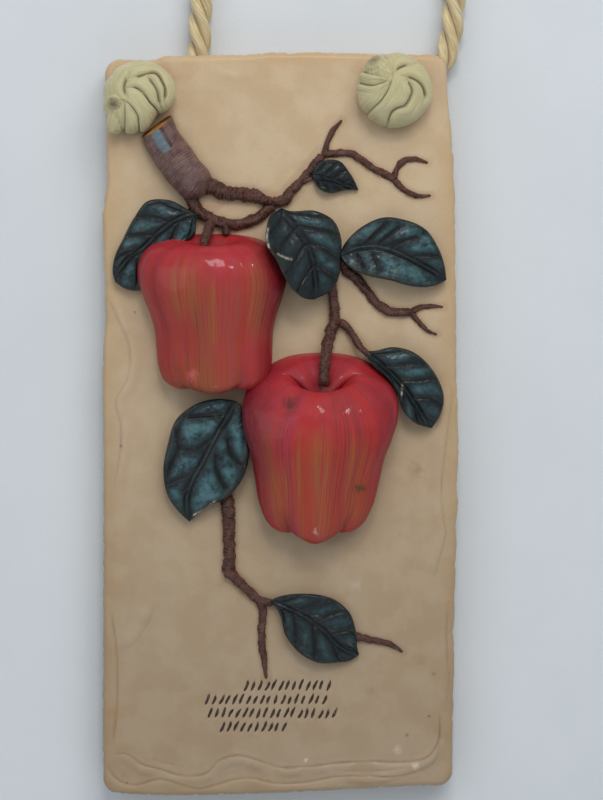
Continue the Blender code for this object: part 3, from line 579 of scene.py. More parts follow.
def soft_lamp(name, place, target, size, energy, colour, shines):
    """A square lamp that looks from its place at its target."""
    data = bpy.data.lights.new(name, "AREA")
    data.size = size
    data.energy = energy
    data.color = colour
    lamp = bpy.data.objects.new(name, data)
    lamp.visible_glossy = shines
    lamp.location = place
    way = np.array(target) - np.array(place)
    tilt = math.acos(-way[2] / np.linalg.norm(way))
    lamp.rotation_euler = (tilt, 0.0, math.atan2(way[1], way[0]) - math.pi / 2)
    bpy.context.scene.collection.objects.link(lamp)


for lamp_name, lamp_facts in LAMPS.items():
    soft_lamp(lamp_name, *lamp_facts)
sky = bpy.data.worlds.new("sky")
sky.use_nodes = True
sky.node_tree.nodes["Background"].inputs["Color"].default_value = SKY_COLOUR
sky.node_tree.nodes["Background"].inputs["Strength"].default_value = SKY_STRENGTH
bpy.context.scene.world = sky
bpy.context.scene.view_settings.view_transform = "Standard"
print("wall, floor and", len(LAMPS), "lamps stand")

# %% [markdown]
# The rope is three strands laid round each other. Its skin is made as one closed tube whose section is
# the outline of three touching circles, turned steadily along the way, so that the grooves run round it
# as they do on laid rope. The fibres' direction is stored for the straw paint.

# %% Hanging rope
ROPE_LAY = 29.0
ELBOW_REACH = 6.0
ROPE_POINT_STEP = 7.0
LEAST_RADIUS_SHARE = 0.56
FIBRE_DEPTH = 0.05
FIBRES_PER_STRAND = 15
GROOVE_SHADE_HALF_TURN = 0.13
THIRD_TURN = 2 * math.pi / 3
LEFT_LEG = ((0.0, 0.0), (6.2, 0.9), (11.6, 3.0), (16.2, 7.2), (19.0, 12.2), (20.2, 18.0), (20.5, 26.0),
            (20.9, 35.0), (21.3, 43.5))
CROWN = ((-24.6, 33.0), (-18.0, 48.5), (-8.0, 62.0), (3.5, 73.0), (15.9, 77.6), (28.3, 73.0),
         (39.8, 62.0), (50.0, 48.5), (56.6, 33.0))
RIGHT_LEG = ((21.1, 38.5), (21.1, 30.0), (20.4, 22.0), (18.7, 13.6), (14.8, 6.9), (10.4, 3.2), (5.9, 1.3),
             (0.0, 0.0))
route = [(LEFT_HOLE[0] + x, LEFT_HOLE[1] + z) for x, z in LEFT_LEG]
route += [(x, HALF_HEIGHT + z) for x, z in CROWN]
route += [(RIGHT_HOLE[0] + x, RIGHT_HOLE[1] + z) for x, z in RIGHT_LEG]
whole_route = smooth_through(route, 400)
whole_run = run_along(whole_route)
rope_start = ELBOW_REACH + ROPE_GAP
rope_reach = whole_run[-1] - 2 * rope_start
rope_depth = ROPE_RADIUS + ROPE_GAP


def on_route(count):
    """Evenly spaced places along the rope, between its two elbows."""
    wanted = np.linspace(rope_start, whole_run[-1] - rope_start, count)
    return np.column_stack([np.interp(wanted, whole_run, column) for column in whole_route.T])


def strand_section(turn):
    """Radius of three touching round strands at a turn round the rope, and how deep in a groove it is."""
    strand = ROPE_RADIUS / (1 + 2 / math.sqrt(3))
    reach = ROPE_RADIUS - strand
    local = (turn + THIRD_TURN / 2) % THIRD_TURN - THIRD_TURN / 2
    inside = np.maximum(strand**2 - (reach * np.sin(local)) ** 2, 0.0)
    radius = np.maximum(reach * np.cos(local) + np.sqrt(inside), LEAST_RADIUS_SHARE * ROPE_RADIUS)
    return radius, local


def groove_shade_mask(local):
    """1 in the groove between two strands, where painted shade goes."""
    return hump(np.abs(local) - THIRD_TURN / 2, GROOVE_SHADE_HALF_TURN)


def ring_points(radius, turn, first_way, second_way):
    """Points round a line, from the radius at each turn and two directions across the line."""
    return radius[..., None] * (np.cos(turn)[..., None] * first_way[:, None, :]
                                + np.sin(turn)[..., None] * second_way[:, None, :])


def rope_skin(name, places, sideways, backward, run, around):
    """A laid rope through places, where sideways and backward are the two directions across it."""
    turn = full_turn(around)[None, :] + 0 * run[:, None]
    strand_turn = turn + 2 * math.pi * run[:, None] / ROPE_LAY
    radius, local = strand_section(strand_turn)
    fibres = 0.5 + 0.5 * np.cos(FIBRES_PER_STRAND * local + 0.9 * run[:, None])
    radius = radius - FIBRE_DEPTH * fibres * np.cos(1.5 * local)
    vertices = places[:, None, :] + ring_points(radius, turn, sideways, backward)
    strand_number = np.floor((strand_turn + THIRD_TURN / 2) / THIRD_TURN) % 3
    # The groove value lays painted shade into the grooves between the strands.
    return make_mesh(name, vertices * MM, capped_tube(len(places), around), {
        "across": local * 2.2 + 7.3 * strand_number, "along": run[:, None] + 0 * turn,
        "groove": groove_shade_mask(local)})


def straw_material(name, colour, shade, groove, roughness, fibre_height):
    """Shiny straw with its fibres as colour and as fine grooves."""
    material, tree, shader = new_material(name, roughness)
    fibres = effect(tree, straw_fibres, Color=colour, Shade_Color=shade, Groove_Color=groove)
    tree.links.new(fibres.outputs["Color"], shader.inputs["Base Color"])
    grain(tree, shader, fibres.outputs["Height"], 0.0004, fibre_height)
    shader.inputs["Sheen Weight"].default_value = 0.25
    return material


rope_places = on_route(int(rope_reach / (0.5 / FINE)))
rope_run = run_along(rope_places)
ahead = way_along(rope_places)
places_3d = np.column_stack([rope_places[:, 0], np.full(len(rope_places), -rope_depth), rope_places[:, 1]])
sideways = np.column_stack([ahead[:, 1], np.zeros(len(ahead)), -ahead[:, 0]])
backward = np.tile([0.0, 1.0, 0.0], (len(ahead), 1))
hanging_rope = rope_skin("hanging_rope_strands", places_3d, sideways, backward, rope_run, int(60 * FINE))
# The third colour is painted shade for the grooves between the strands.
rope_straw = straw_material("rope_straw", rgb(228, 213, 171), rgb(195, 169, 120), rgb(130, 92, 48), 0.4, 0.45)
dress(hanging_rope, rope_straw, "hanging_rope")
cord_points = on_route(round(rope_reach / ROPE_POINT_STEP))

# %% [markdown]
# Each knot is one end of the rope, tied on itself. Its strands show as smooth puffed bands with thin
# grooves between them, darkened with painted shade. The grooves are drawn as lines over a dome, and the
# surface swells away from them. The rope's cut end pokes out at one side, and its shank goes back
# through the slab.

# %% Knots
KNOT_RADIUS = 12.4
KNOT_WAIST = 4.5
KNOT_CROWN = 6.5
SHANK_SHARE = 0.99
BAND_HALF = 1.9
GROOVE_SHARE = 0.2
BAND_TILT = 0.22
SQUEEZE_TURN = 0.6
GROOVE_SHADE_LINE_HALF = 0.22
GROOVE_TAPER = 3.0
CUT_SHADE = 0.5
TIP_RINGS = (1.0, 0.92, 0.8, 0.6, 0.35, 0.1)
# The dark grooves between the bands of each knot, as lines of x and z.
LEFT_GROOVES = (
    ((-50.8, 106.7), (-51.3, 108.6), (-51.7, 110.4), (-51.8, 111.9), (-51.2, 114.0), (-50.2, 116.6)),
    ((-49.3, 114.2), (-46.6, 115.3), (-43.5, 116.3), (-40.9, 116.5), (-39.1, 115.3), (-38.0, 113.4),
     (-37.2, 111.1), (-37.0, 108.5), (-37.5, 105.5)),
    ((-44.7, 115.5), (-42.4, 113.8), (-40.9, 111.9), (-39.7, 109.2), (-39.1, 106.5), (-39.0, 103.5)),
    ((-50.6, 110.9), (-48.5, 111.3), (-46.2, 110.4), (-44.1, 108.3), (-42.4, 105.8), (-40.7, 104.1),
     (-39.0, 100.0)),
    ((-50.8, 106.7), (-49.3, 104.8), (-47.8, 102.7), (-46.8, 100.8), (-46.6, 98.7), (-46.5, 93.0)),
    ((-51.2, 107.1), (-51.4, 103.9), (-51.4, 100.4), (-51.6, 96.8), (-51.8, 92.0)),
)
RIGHT_GROOVES = (
    ((37.4, 115.6), (34.6, 108.6), (33.0, 106.3), (30.4, 103.9), (26.0, 99.5)),
    ((37.4, 115.6), (39.0, 117.8), (41.1, 118.9), (44.5, 119.3)),
    ((40.7, 115.0), (44.5, 114.4), (46.5, 113.2), (48.1, 111.0), (48.5, 108.6), (47.7, 105.9)),
    ((41.3, 114.6), (43.5, 111.8), (44.1, 109.6), (43.5, 107.3), (41.1, 104.3), (39.2, 103.7), (37.2, 102.5),
     (35.0, 97.0)),
    ((36.8, 114.0), (35.6, 113.6), (33.8, 114.6), (31.0, 115.6), (28.3, 116.4), (25.9, 117.6), (21.0, 120.0)),
    ((36.8, 114.0), (35.6, 113.2), (33.0, 112.6), (30.4, 111.8), (27.7, 112.2), (25.5, 113.2), (21.0, 114.8)),
    ((37.0, 115.8), (36.4, 117.4), (35.6, 118.9), (34.8, 121.3), (33.0, 126.0)),
)
# Each loose end: its line of x, z, rise and radius, how ragged its tip is and how far the tip is domed.
STRAND_ENDS = {
    "knot_left_cut_strand": (((-52.4, 109.6, 3.5, 2.2), (-53.6, 107.6, 6.5, 2.5), (-54.4, 106.3, 9.0, 2.6),
                              (-54.7, 105.9, 9.9, 2.5)), 0.2, 0.15),
    "knot_left_tucked_strand": (((-51.5, 105.5, 5.5, 2.9), (-53.8, 102.6, 5.6, 3.1), (-54.5, 99.8, 4.9, 2.9),
                                 (-54.7, 98.4, 4.3, 2.7)), 0.12, 0.8),
    "knot_right_cut_strand": (((37.0, 112.5, 6.4, 3.5), (33.8, 116.2, 6.6, 4.2), (32.0, 118.6, 7.2, 4.1),
                               (31.2, 119.8, 8.3, 3.2)), 0.15, 0.2),
}


def knot_dome(name, centre, squeeze, grooves):
    """A domed knot whose bands swell between the lines of its grooves."""
    around = int(260 * FINE)
    rings = int(130 * FINE)
    polar = np.linspace(0, math.pi, rings + 1)[:, None]
    turn = full_turn(around)[None, :]
    away = (turn - squeeze[0] + math.pi) % (2 * math.pi) - math.pi
    pressed = squeeze[1] * hump(away, SQUEEZE_TURN)
    radius = (KNOT_RADIUS - pressed) * np.sin(polar) ** 0.8
    x = centre[0] + radius * np.cos(turn)
    z = centre[1] + radius * np.sin(turn)
    gap = np.full(x.shape, FAR_AWAY)
    side = np.zeros(x.shape)
    along = np.zeros(x.shape)
    for line in grooves:
        line = smooth_through(line, 30)
        line_gap, line_side, line_along = nearest_line(np.stack([x, z], axis=-1), [line])
        taper = np.clip(np.minimum(line_along, run_along(line)[-1] - line_along) / GROOVE_TAPER, 0, 1) ** 0.5
        line_gap = line_gap + 0.55 * BAND_HALF * (1 - taper)
        closer = line_gap < gap
        gap = np.where(closer, line_gap, gap)
        side = np.where(closer, line_side, side)
        along = np.where(closer, line_along, along)
    swell = np.sqrt(1 - (1 - np.clip(gap / BAND_HALF, 0, 1)) ** 2)
    swell = swell + BAND_TILT * side * hump(gap - 0.8, 1.2)
    share = 1 - GROOVE_SHARE * (1 - swell) * (0.8 - 0.35 * np.sin(polar) ** 4)
    share = share + 0.012 * waves(np.stack([x, z], axis=-1), 9.0, 5)
    drop = np.where(polar <= math.pi / 2, KNOT_CROWN, KNOT_WAIST - ROPE_GAP)
    rise = KNOT_WAIST + drop * np.cos(polar) * np.where(polar <= math.pi / 2, share, 1.0)
    reach = radius * share
    vertices = world(centre[0] + reach * np.cos(turn), centre[1] + reach * np.sin(turn), rise)
    # The groove value is a thin line of painted shade along each groove.
    return make_mesh(name, vertices, bridged(rings + 1, around), {
        "across": side * gap + 0 * rise, "along": along + 0 * rise,
        "groove": hump(gap, GROOVE_SHADE_LINE_HALF) + 0 * rise})


def strand_end(name, stations, frays, dome):
    """A strand of the rope with a cut, slightly frayed end."""
    path = smooth_through(stations, int(60 * FINE), spread=3)
    ahead = way_along(path[:, :3])
    sideways = np.cross(ahead, (0.0, 0.0, 1.0))
    sideways /= np.linalg.norm(sideways, axis=1)[:, None]
    upward = np.cross(sideways, ahead)
    around = int(64 * FINE)
    turn = full_turn(around)[None, :]
    run = run_along(path[:, :3])[:, None]
    radius = path[:, 3][:, None] * (1 - 0.06 * np.abs(np.sin(4.5 * turn + 0.25 * run)))
    tip = []
    for inward in TIP_RINGS:
        rough = np.cos(turn * 9 + inward * 21) * (1.1 - inward) + chance.normal(size=around) * 0.4
        domed = dome * path[-1, 3] * math.sqrt(1 - inward**2)
        outward = radius[-1][:, None] * (np.cos(turn).T * sideways[-1] + np.sin(turn).T * upward[-1])
        tip.append(path[-1, :3] + ahead[-1] * (frays * rough.T + domed) + inward * outward)
    body = path[:, None, :3] + ring_points(radius, turn, sideways, upward)
    rings = np.concatenate([body, np.array(tip)], axis=0)
    cut_shade = CUT_SHADE * (1 - np.array(TIP_RINGS) ** 3)[:, None] * (1 - 0.6 * (dome > 0.5))
    shade = np.concatenate([0 * run + 0 * turn, cut_shade + 0 * turn])
    tip_run = run[-1] + np.linspace(0, 1, len(tip))[:, None]
    return make_mesh(name, world(*np.moveaxis(rings, -1, 0)), capped_tube(len(rings), around), {
        "across": np.tile(turn * 2.9, (len(rings), 1)), "along": np.concatenate([run, tip_run]) + 0 * turn,
        "groove": shade})


def knot_shank(name, hole, end, way):
    """The rope through its hole, bent to meet the rope in the slab's channel."""
    around = int(48 * FINE)
    back = np.array([0.0, 1.0, 0.0])
    start = np.array([hole[0], -(SLAB_THICKNESS + 3.0), hole[1]])
    corner = np.array([hole[0], -rope_depth, hole[1]])
    finish = np.array([end[0], -rope_depth, end[1]])
    reach = (finish - corner) / np.linalg.norm(finish - corner)
    leaving = np.array([way[0], 0.0, way[1]])
    turn = full_turn(around)
    radius, local = strand_section(turn)
    rings = [(start + (corner - start) * share, reach, reach) for share in np.linspace(0, 1, 8)[:-1]]
    rings.append((corner, reach - back, reach))
    for share in np.linspace(0.25, 1, 4):
        rings.append((corner + (finish - corner) * share, -back, reach if share < 1 else leaving))
    vertices = []
    for place, inward, ahead_way in rings:
        across = np.cross(back, ahead_way)
        vertices.append(place + SHANK_SHARE * radius[:, None] * (np.cos(turn)[:, None] * inward
                                                                 + np.sin(turn)[:, None] * across))
    count = len(vertices)
    run = np.linspace(0, 20, count)[:, None]
    return make_mesh(name, np.array(vertices) * MM, capped_tube(count, around), {
        "across": np.tile(turn * 4, (count, 1)), "along": run + 0 * turn,
        "groove": np.tile(groove_shade_mask(local), (count, 1))})


# The third colour is painted shade in the grooves, mixed in on the cut ends as their olive colour.
knot_straw = straw_material("knot_straw", rgb(206, 197, 153), rgb(186, 176, 130), rgb(84, 64, 34), 0.42, 0.12)
left_way = (cord_points[1] - cord_points[0]) / np.linalg.norm(cord_points[1] - cord_points[0])
right_way = (cord_points[-2] - cord_points[-1]) / np.linalg.norm(cord_points[-2] - cord_points[-1])
knot_pieces = [
    knot_dome("knot_left_bands", (LEFT_HOLE[0] + 1.2, LEFT_HOLE[1] + 1.7), (math.radians(-46), 4.2),
              LEFT_GROOVES),
    knot_shank("knot_left_shank", LEFT_HOLE, cord_points[0] - left_way * ROPE_GAP, left_way),
    knot_dome("knot_right_bands", (RIGHT_HOLE[0] + 0.6, RIGHT_HOLE[1] - 0.3), (0.0, 0.0), RIGHT_GROOVES),
    knot_shank("knot_right_shank", RIGHT_HOLE, cord_points[-1] - right_way * ROPE_GAP, right_way)]
knot_pieces += [strand_end(name, *facts) for name, facts in STRAND_ENDS.items()]
for piece in knot_pieces:
    dress(piece, knot_straw, "knot_left" if "left" in piece.name else "knot_right")

# %% [markdown]
# The twigs are wanted twice: as raised stems, and as stains, since their thin paint bled into the slab
# beside them. So their lines are written down first, each point with its x, z, rise and radius.

# %% Where the branch and twigs run
BRANCH = ((-41.0, 98.9, 2.6, 6.0), (-38.7, 93.7, 2.5, 6.1), (-35.0, 88.3, 2.4, 6.4), (-31.5, 83.5, 2.2, 6.3),
          (-27.5, 79.4, 2.0, 6.0), (-24.5, 76.6, 1.6, 4.6))
STEMS = {
    "upper_arm": ((-27.0, 79.5, 1.0, 3.0), (-23.5, 79.2, 1.0, 2.9), (-19.3, 77.3, 1.0, 2.4),
                  (-14.0, 76.7, 1.0, 2.3), (-8.3, 75.8, 1.0, 2.1), (-3.0, 74.0, 0.9, 1.9),
                  (1.5, 74.6, 0.8, 1.7), (4.0, 77.8, 0.6, 1.5), (7.3, 81.3, 0.5, 1.4),
                  (10.8, 85.5, 0.4, 1.4), (14.3, 89.8, 0.4, 1.3)),
    "lower_arm": ((-31.0, 79.0, 0.8, 1.8), (-29.7, 75.3, 1.0, 1.9), (-27.0, 71.0, 1.0, 1.9),
                  (-23.0, 68.3, 1.0, 1.9), (-17.3, 66.8, 1.0, 1.8), (-12.0, 66.8, 1.0, 1.8),
                  (-6.7, 69.3, 1.0, 1.8), (-2.0, 73.2, 0.8, 1.7)),
    "upper_fruit_stem": ((-22.6, 68.2, 1.5, 1.6), (-23.5, 65.3, 4.5, 1.6), (-24.5, 61.5, 7.5, 1.5),
                         (-25.0, 57.5, 8.0, 1.4)),
    "stem_stub": ((-19.0, 67.0, 1.0, 1.3), (-18.0, 64.3, 1.8, 1.2), (-17.7, 62.6, 2.0, 1.0)),
    "twig_tip": ((14.6, 89.5, 0.3, 1.1), (15.6, 92.5, 0.3, 1.0), (16.4, 95.4, 0.2, 0.9),
                 (18.0, 98.2, 0.2, 0.9), (20.7, 101.3, 0.1, 0.8)),
    "twig_right": ((14.0, 89.8, 0.3, 1.2), (20.3, 90.3, 0.3, 1.2), (23.5, 90.2, 0.3, 1.2),
                   (26.7, 88.3, 0.3, 1.2), (30.7, 85.5, 0.3, 1.2), (34.7, 83.3, 0.3, 1.2),
                   (38.6, 81.6, 0.3, 1.2)),
    "twig_fork_up": ((38.0, 81.6, 0.2, 1.0), (39.0, 85.0, 0.2, 1.0), (41.0, 87.4, 0.2, 1.0),
                     (44.4, 88.3, 0.2, 0.9), (49.4, 87.0, 0.1, 0.8)),
    "twig_fork_down": ((38.0, 81.4, 0.2, 1.1), (40.5, 78.8, 0.2, 1.0), (44.0, 76.6, 0.2, 0.9),
                       (46.5, 76.0, 0.2, 0.8), (50.4, 76.2, 0.1, 0.7)),
    "leaf_small_stalk": ((7.5, 80.5, 0.6, 1.0), (11.5, 82.2, 1.2, 0.9)),
    "leaf_right_stalk": ((13.5, 62.0, 3.0, 1.3), (20.5, 56.5, 2.6, 1.2)),
    "side_twig": ((20.0, 55.5, 0.8, 1.7), (22.0, 51.4, 0.8, 1.7), (25.0, 48.7, 0.6, 1.6),
                  (29.0, 44.3, 0.5, 1.5), (32.7, 39.8, 0.5, 1.5), (36.3, 37.7, 0.5, 1.5),
                  (41.0, 37.2, 0.4, 1.4), (44.7, 37.7, 0.3, 1.2)),
    "side_twig_fork_up": ((44.0, 37.4, 0.3, 1.1), (47.0, 39.0, 0.2, 0.9), (50.0, 39.3, 0.2, 0.8),
                          (54.5, 39.0, 0.1, 0.7)),
    "side_twig_fork_down": ((43.5, 37.4, 0.3, 1.1), (45.2, 35.2, 0.2, 0.9), (47.2, 33.1, 0.2, 0.8),
                            (49.4, 31.0, 0.1, 0.7), (52.4, 29.8, 0.1, 0.7)),
    "lower_fruit_stem": ((17.0, 47.0, 3.0, 1.6), (17.8, 41.5, 2.0, 1.7), (18.2, 34.5, 2.2, 1.9),
                         (16.7, 29.7, 4.0, 1.9), (15.6, 25.0, 7.5, 1.8), (14.8, 19.0, 9.5, 1.7),
                         (14.6, 12.5, 9.0, 1.5)),
    "leaf_lower_right_stalk": ((18.4, 34.2, 1.2, 1.4), (21.5, 33.0, 1.2, 1.3), (24.2, 29.7, 1.8, 1.2),
                               (26.8, 25.6, 3.2, 1.1), (30.0, 22.4, 4.6, 1.0)),
    "low_twig": ((-18.0, -23.0, 1.5, 2.4), (-17.3, -29.3, 1.0, 2.3), (-17.0, -35.0, 0.9, 1.9),
                 (-16.8, -39.7, 0.8, 1.8), (-16.7, -44.3, 0.8, 1.9), (-17.0, -48.7, 0.8, 2.1),
                 (-14.0, -52.3, 0.7, 1.6), (-10.3, -55.7, 0.6, 1.5), (-6.5, -58.9, 0.6, 1.5),
                 (-2.0, -59.6, 0.6, 1.2)),
    "low_twig_down": ((-6.4, -58.6, 0.5, 1.4), (-5.7, -63.0, 0.4, 1.3), (-6.0, -68.0, 0.4, 1.2),
                      (-6.0, -73.0, 0.3, 1.2), (-5.3, -78.7, 0.2, 1.0), (-4.5, -85.0, 0.1, 0.8)),
    "low_twig_right": ((22.0, -69.8, 0.4, 1.2), (25.3, -70.7, 0.4, 1.2), (30.9, -72.0, 0.3, 1.1),
                       (36.3, -73.2, 0.2, 0.9), (41.0, -76.0, 0.1, 0.7)),
}
print("stems", len(STEMS) + 1)

# %% [markdown]
# The slab was rolled out by hand before the mould was taken: its edge wavers, and near the foot the
# rolled border lies in folds, each a soft roll with a thin crease on its inner side. The front is a grid
# of faces, moved up and down by all of these at once. In the inscription's place are four short rows of
# shallow slanted strokes, pressed in and filled with dark paint.

# %% The slab's surface
CORNER_RADIUS = 5.0
FRONT_ROUNDING = 2.2
BACK_ROUNDING = 0.8
EDGE_INSET = 0.06
TORN_EDGE = 0.22
# How deep the outline is dented at each share of its way, up the sides and along the top and bottom.
LEFT_DENTS = ((0.0, 0.7), (0.08, 0.3), (0.21, 0.5), (0.47, 0.6), (0.57, 0.3), (0.61, 0.6), (0.64, 1.4),
              (0.70, 1.1), (0.75, 0.6), (0.79, 0.3), (0.83, 1.8), (0.97, 1.1), (1.0, 1.1))
RIGHT_DENTS = ((0.0, 2.1), (0.11, 1.7), (0.18, 1.3), (0.21, 1.7), (0.25, 1.3), (0.33, 0.6), (0.36, 0.8),
               (0.39, 0.0), (0.41, 0.5), (0.46, 0.0), (0.52, 0.2), (0.56, 0.8), (0.63, 0.8), (0.80, 1.1),
               (0.88, 1.9), (0.94, 3.5), (1.0, 4.0))
TOP_DENTS = ((0.0, 2.4), (0.14, 2.4), (0.17, 1.2), (0.40, 0.7), (0.47, 0.0), (0.60, 0.0), (0.73, 0.3),
             (0.93, 0.7), (1.0, 1.2))
BOTTOM_DENTS = ((0.0, 0.9), (0.05, 0.6), (0.17, 0.0), (0.30, 0.2), (0.44, 0.6), (0.58, 1.3), (0.71, 2.1),
                (0.85, 3.0), (1.0, 3.5))
# Each crease: how high its roll stands, then its places. The roll lies to the right of the line's way.
CREASES = (
    (0.85, ((-56, -110.0), (-51.1, -109.9), (-45.9, -113.4), (-39.7, -115.0), (-33, -117.1), (-23.9, -115.9),
            (-20.4, -112.1), (-14.1, -110.4), (-6.6, -112.3), (0, -114.4), (8, -114.2), (20, -112.9),
            (31, -112.4), (41.7, -112.6), (49.2, -110.8), (52.6, -106.0), (53.2, -96.0))),
    (0.8, ((-57.7, -113.0), (-56.2, -116.2), (-53.8, -118.6), (-48.3, -120.3), (-43.2, -118.9),
           (-39.7, -118.3), (-32.2, -120.3), (-27.8, -121.5), (-20.4, -119.9), (-16.0, -118.5),
           (-10.1, -118.0), (-1.1, -119.7), (8, -119.4), (18, -117.6), (28, -117.2), (38, -117.4),
           (48, -115.4))),
    (0.5, ((-44.3, -111.3), (-38.0, -113.0), (-32.3, -114.3))),
    (0.45, ((15.5, -114.6), (24.0, -115.6), (36.0, -115.2), (47.0, -113.6))),
    (0.7, ((-56.2, -62.0), (-54.6, -74.0), (-54.2, -92.0), (-55.6, -107.0))),
    (0.65, ((-55.6, -22.0), (-53.4, -10.0), (-53.0, -1.7), (-54.6, 8.0), (-51.2, 14.3), (-50.6, 27.0),
            (-53.7, 34.0), (-58.3, 44.3))),
    (0.6, ((57.6, 12.0), (55.2, -8.7), (53.8, -24.0), (54.6, -32.3), (55.2, -36.0), (54.2, -41.0),
           (51.2, -51.7))),
    (0.6, ((56.2, -58.0), (55.6, -70.0), (56.0, -84.0), (55.4, -96.0))),
    (0.3, ((-56.0, 121.2), (-51.0, 121.8), (-46.0, 120.6), (-43.5, 119.6))),
    (0.25, ((-25.0, 121.0), (-17.0, 118.0), (-10.0, 117.2))),
    (0.4, ((-41.4, -58.3), (-43.0, -64.0), (-45.5, -68.8), (-51.1, -74.8), (-56.0, -75.6))),
    (0.5, ((51.5, -101.0), (53.0, -106.0), (51.0, -113.0), (44.0, -116.6), (33.0, -119.6), (20.0, -119.4))),
)
WAVE_RISE = 0.13
WAVE_SIZE = 55.0
RIPPLE_RISE = 0.03
RIPPLE_SIZE = 8.0
BORDER_RISE = 0.2
BORDER_INSET = 5.0
BORDER_WIDTH = 2.6
CREASE_DEPTH = 0.36
CREASE_HALF = 0.4
ROLL_HALF = 1.7
# Each row of strokes: the height of its foot, then where it starts and ends.
STROKE_ROWS = ((-88.9, -12.0, 17.0), (-93.5, -25.0, 16.0), (-98.1, -24.0, 17.5), (-102.7, -20.0, 3.0))
STROKE_STEP = 2.3
STROKE_HEIGHT = 3.6
STROKE_LEAN = 1.25
STROKE_HALF = 0.42
STROKE_DEPTH = 0.34
STROKE_REACH = 1.5
CREASE_REACH = 5.0
CREASE_FADE = 6.0


def stroke_lines():
    """Slanted, slightly bowed strokes in four rows, each a little unlike the next."""
    draw = np.random.default_rng(4)
    lines = []
    for foot, left, right in STROKE_ROWS:
        for x in np.arange(left, right, STROKE_STEP):
            height = STROKE_HEIGHT * draw.uniform(0.8, 1.05)
            lean = STROKE_LEAN * draw.uniform(0.7, 1.5)
            bow = draw.uniform(-0.35, 0.35)
            begin = foot + draw.uniform(-0.2, 0.2)
            shares = np.linspace(0, 1, 9)
            lines.append(np.column_stack([x + lean * shares + bow * np.sin(math.pi * shares),
                                          begin + height * shares]))
    return lines


strokes = stroke_lines()
crease_lines = [(height, smooth_through(places, 60)) for height, places in CREASES]


def near_box(places, line, reach):
    """Which of the places lie close enough to a line to matter."""
    low = np.min(line[:, :2], axis=0) - reach
    high = np.max(line[:, :2], axis=0) + reach
    return np.all((places >= low) & (places <= high), axis=-1)


def slab_form(x, z):
    """The front's rise and how deep each place lies in a crease."""
    places = np.stack([x, z], axis=-1)
    edge = np.minimum(HALF_WIDTH - np.abs(x), HALF_HEIGHT - np.abs(z))
    rise = WAVE_RISE * waves(places, WAVE_SIZE, 3) * np.clip(edge / 8, 0, 1)
    rise = rise + RIPPLE_RISE * waves(places, RIPPLE_SIZE, 8)
    border = hump(edge - BORDER_INSET, BORDER_WIDTH) * (0.6 + 0.4 * waves(places, 30.0, 21))
    rise = rise + BORDER_RISE * border
    hollow = np.zeros(x.shape)
    for height, line in crease_lines:
        near = near_box(places, line, CREASE_REACH)
        gap, side, along = nearest_line(places[near], [line])
        length = run_along(line)[-1]
        fade = np.clip(np.minimum(along, length - along) / CREASE_FADE, 0, 1) ** 0.7
        fade = fade * (0.8 + 0.2 * waves(places[near], 13.0, 17))
        across = -side * gap
        roll = height * (hump(across - ROLL_HALF, ROLL_HALF) - 0.25 * hump(across + ROLL_HALF, ROLL_HALF))
        rise[near] += fade * (roll - CREASE_DEPTH * height * hump(across, CREASE_HALF))
        hollow[near] = np.maximum(hollow[near], fade * 1.3 * height**2 * hump(across, 0.3))
    near = near_box(places, np.vstack(strokes), STROKE_REACH)
    gap = nearest_line(places[near], strokes)[0]
    rise[near] -= STROKE_DEPTH * hump(gap, STROKE_HALF)
    return rise, hollow


# %% [markdown]
# The grid's corners are bent onto the slab's rounded corners, rings of faces carry it over the rounded
# front edge, down the sides and under to the back, and the whole is then squeezed where the outline is
# dented. The rope's channels and holes are cut out last.

# %% Slab
HOLE_PLAY = 0.5
WALL_DROPS = (-4.5, -7.0, -9.5)
STROKES_LEFT = -27.5
STROKES_RIGHT = 18.5
STROKES_FOOT = -106.0
STROKES_TOP = -84.0
STROKE_SPACING = 0.42
BITE_SIZE = 5.5
NICK_SIZE = 2.3


def dent(dents, share):
    """How deep the outline is dented at a share of its way."""
    return np.interp(share, [place for place, _ in dents], [depth for _, depth in dents])


def bent_outline(x, z):
    """Squeezes places in to the hand-made outline."""
    up_share = (z + HALF_HEIGHT) / SLAB_HEIGHT
    across_share = (x + HALF_WIDTH) / SLAB_WIDTH
    side = np.where(x > 0, dent(RIGHT_DENTS, up_share), dent(LEFT_DENTS, up_share))
    end = np.where(z > 0, dent(TOP_DENTS, across_share), dent(BOTTOM_DENTS, across_share))
    return x * (HALF_WIDTH - side) / HALF_WIDTH, z * (HALF_HEIGHT - end) / HALF_HEIGHT


def rounded(x, z, inset):
    """Bends a rectangle's corners onto arcs."""
    radius = CORNER_RADIUS - inset
    over_x = np.clip((np.abs(x) - (HALF_WIDTH - CORNER_RADIUS)) / radius, 0, 1)
    over_z = np.clip((np.abs(z) - (HALF_HEIGHT - CORNER_RADIUS)) / radius, 0, 1)
    length = np.maximum(np.hypot(over_x, over_z), 1e-9)
    shrink = np.where((over_x > 0) & (over_z > 0), np.maximum(over_x, over_z) / length, 1.0)
    return (np.sign(x) * (np.abs(x) - over_x * radius * (1 - shrink)),
            np.sign(z) * (np.abs(z) - over_z * radius * (1 - shrink)))


def grid_line(stops):
    """Coordinates from the first stop to the last, with a spacing for each stretch."""
    line = [np.array([stops[0][0]])]
    for (start, spacing), (end, _) in zip(stops, stops[1:]):
        line.append(np.linspace(start, end, max(2, round((end - start) / spacing) + 1))[1:])
    return np.concatenate(line)


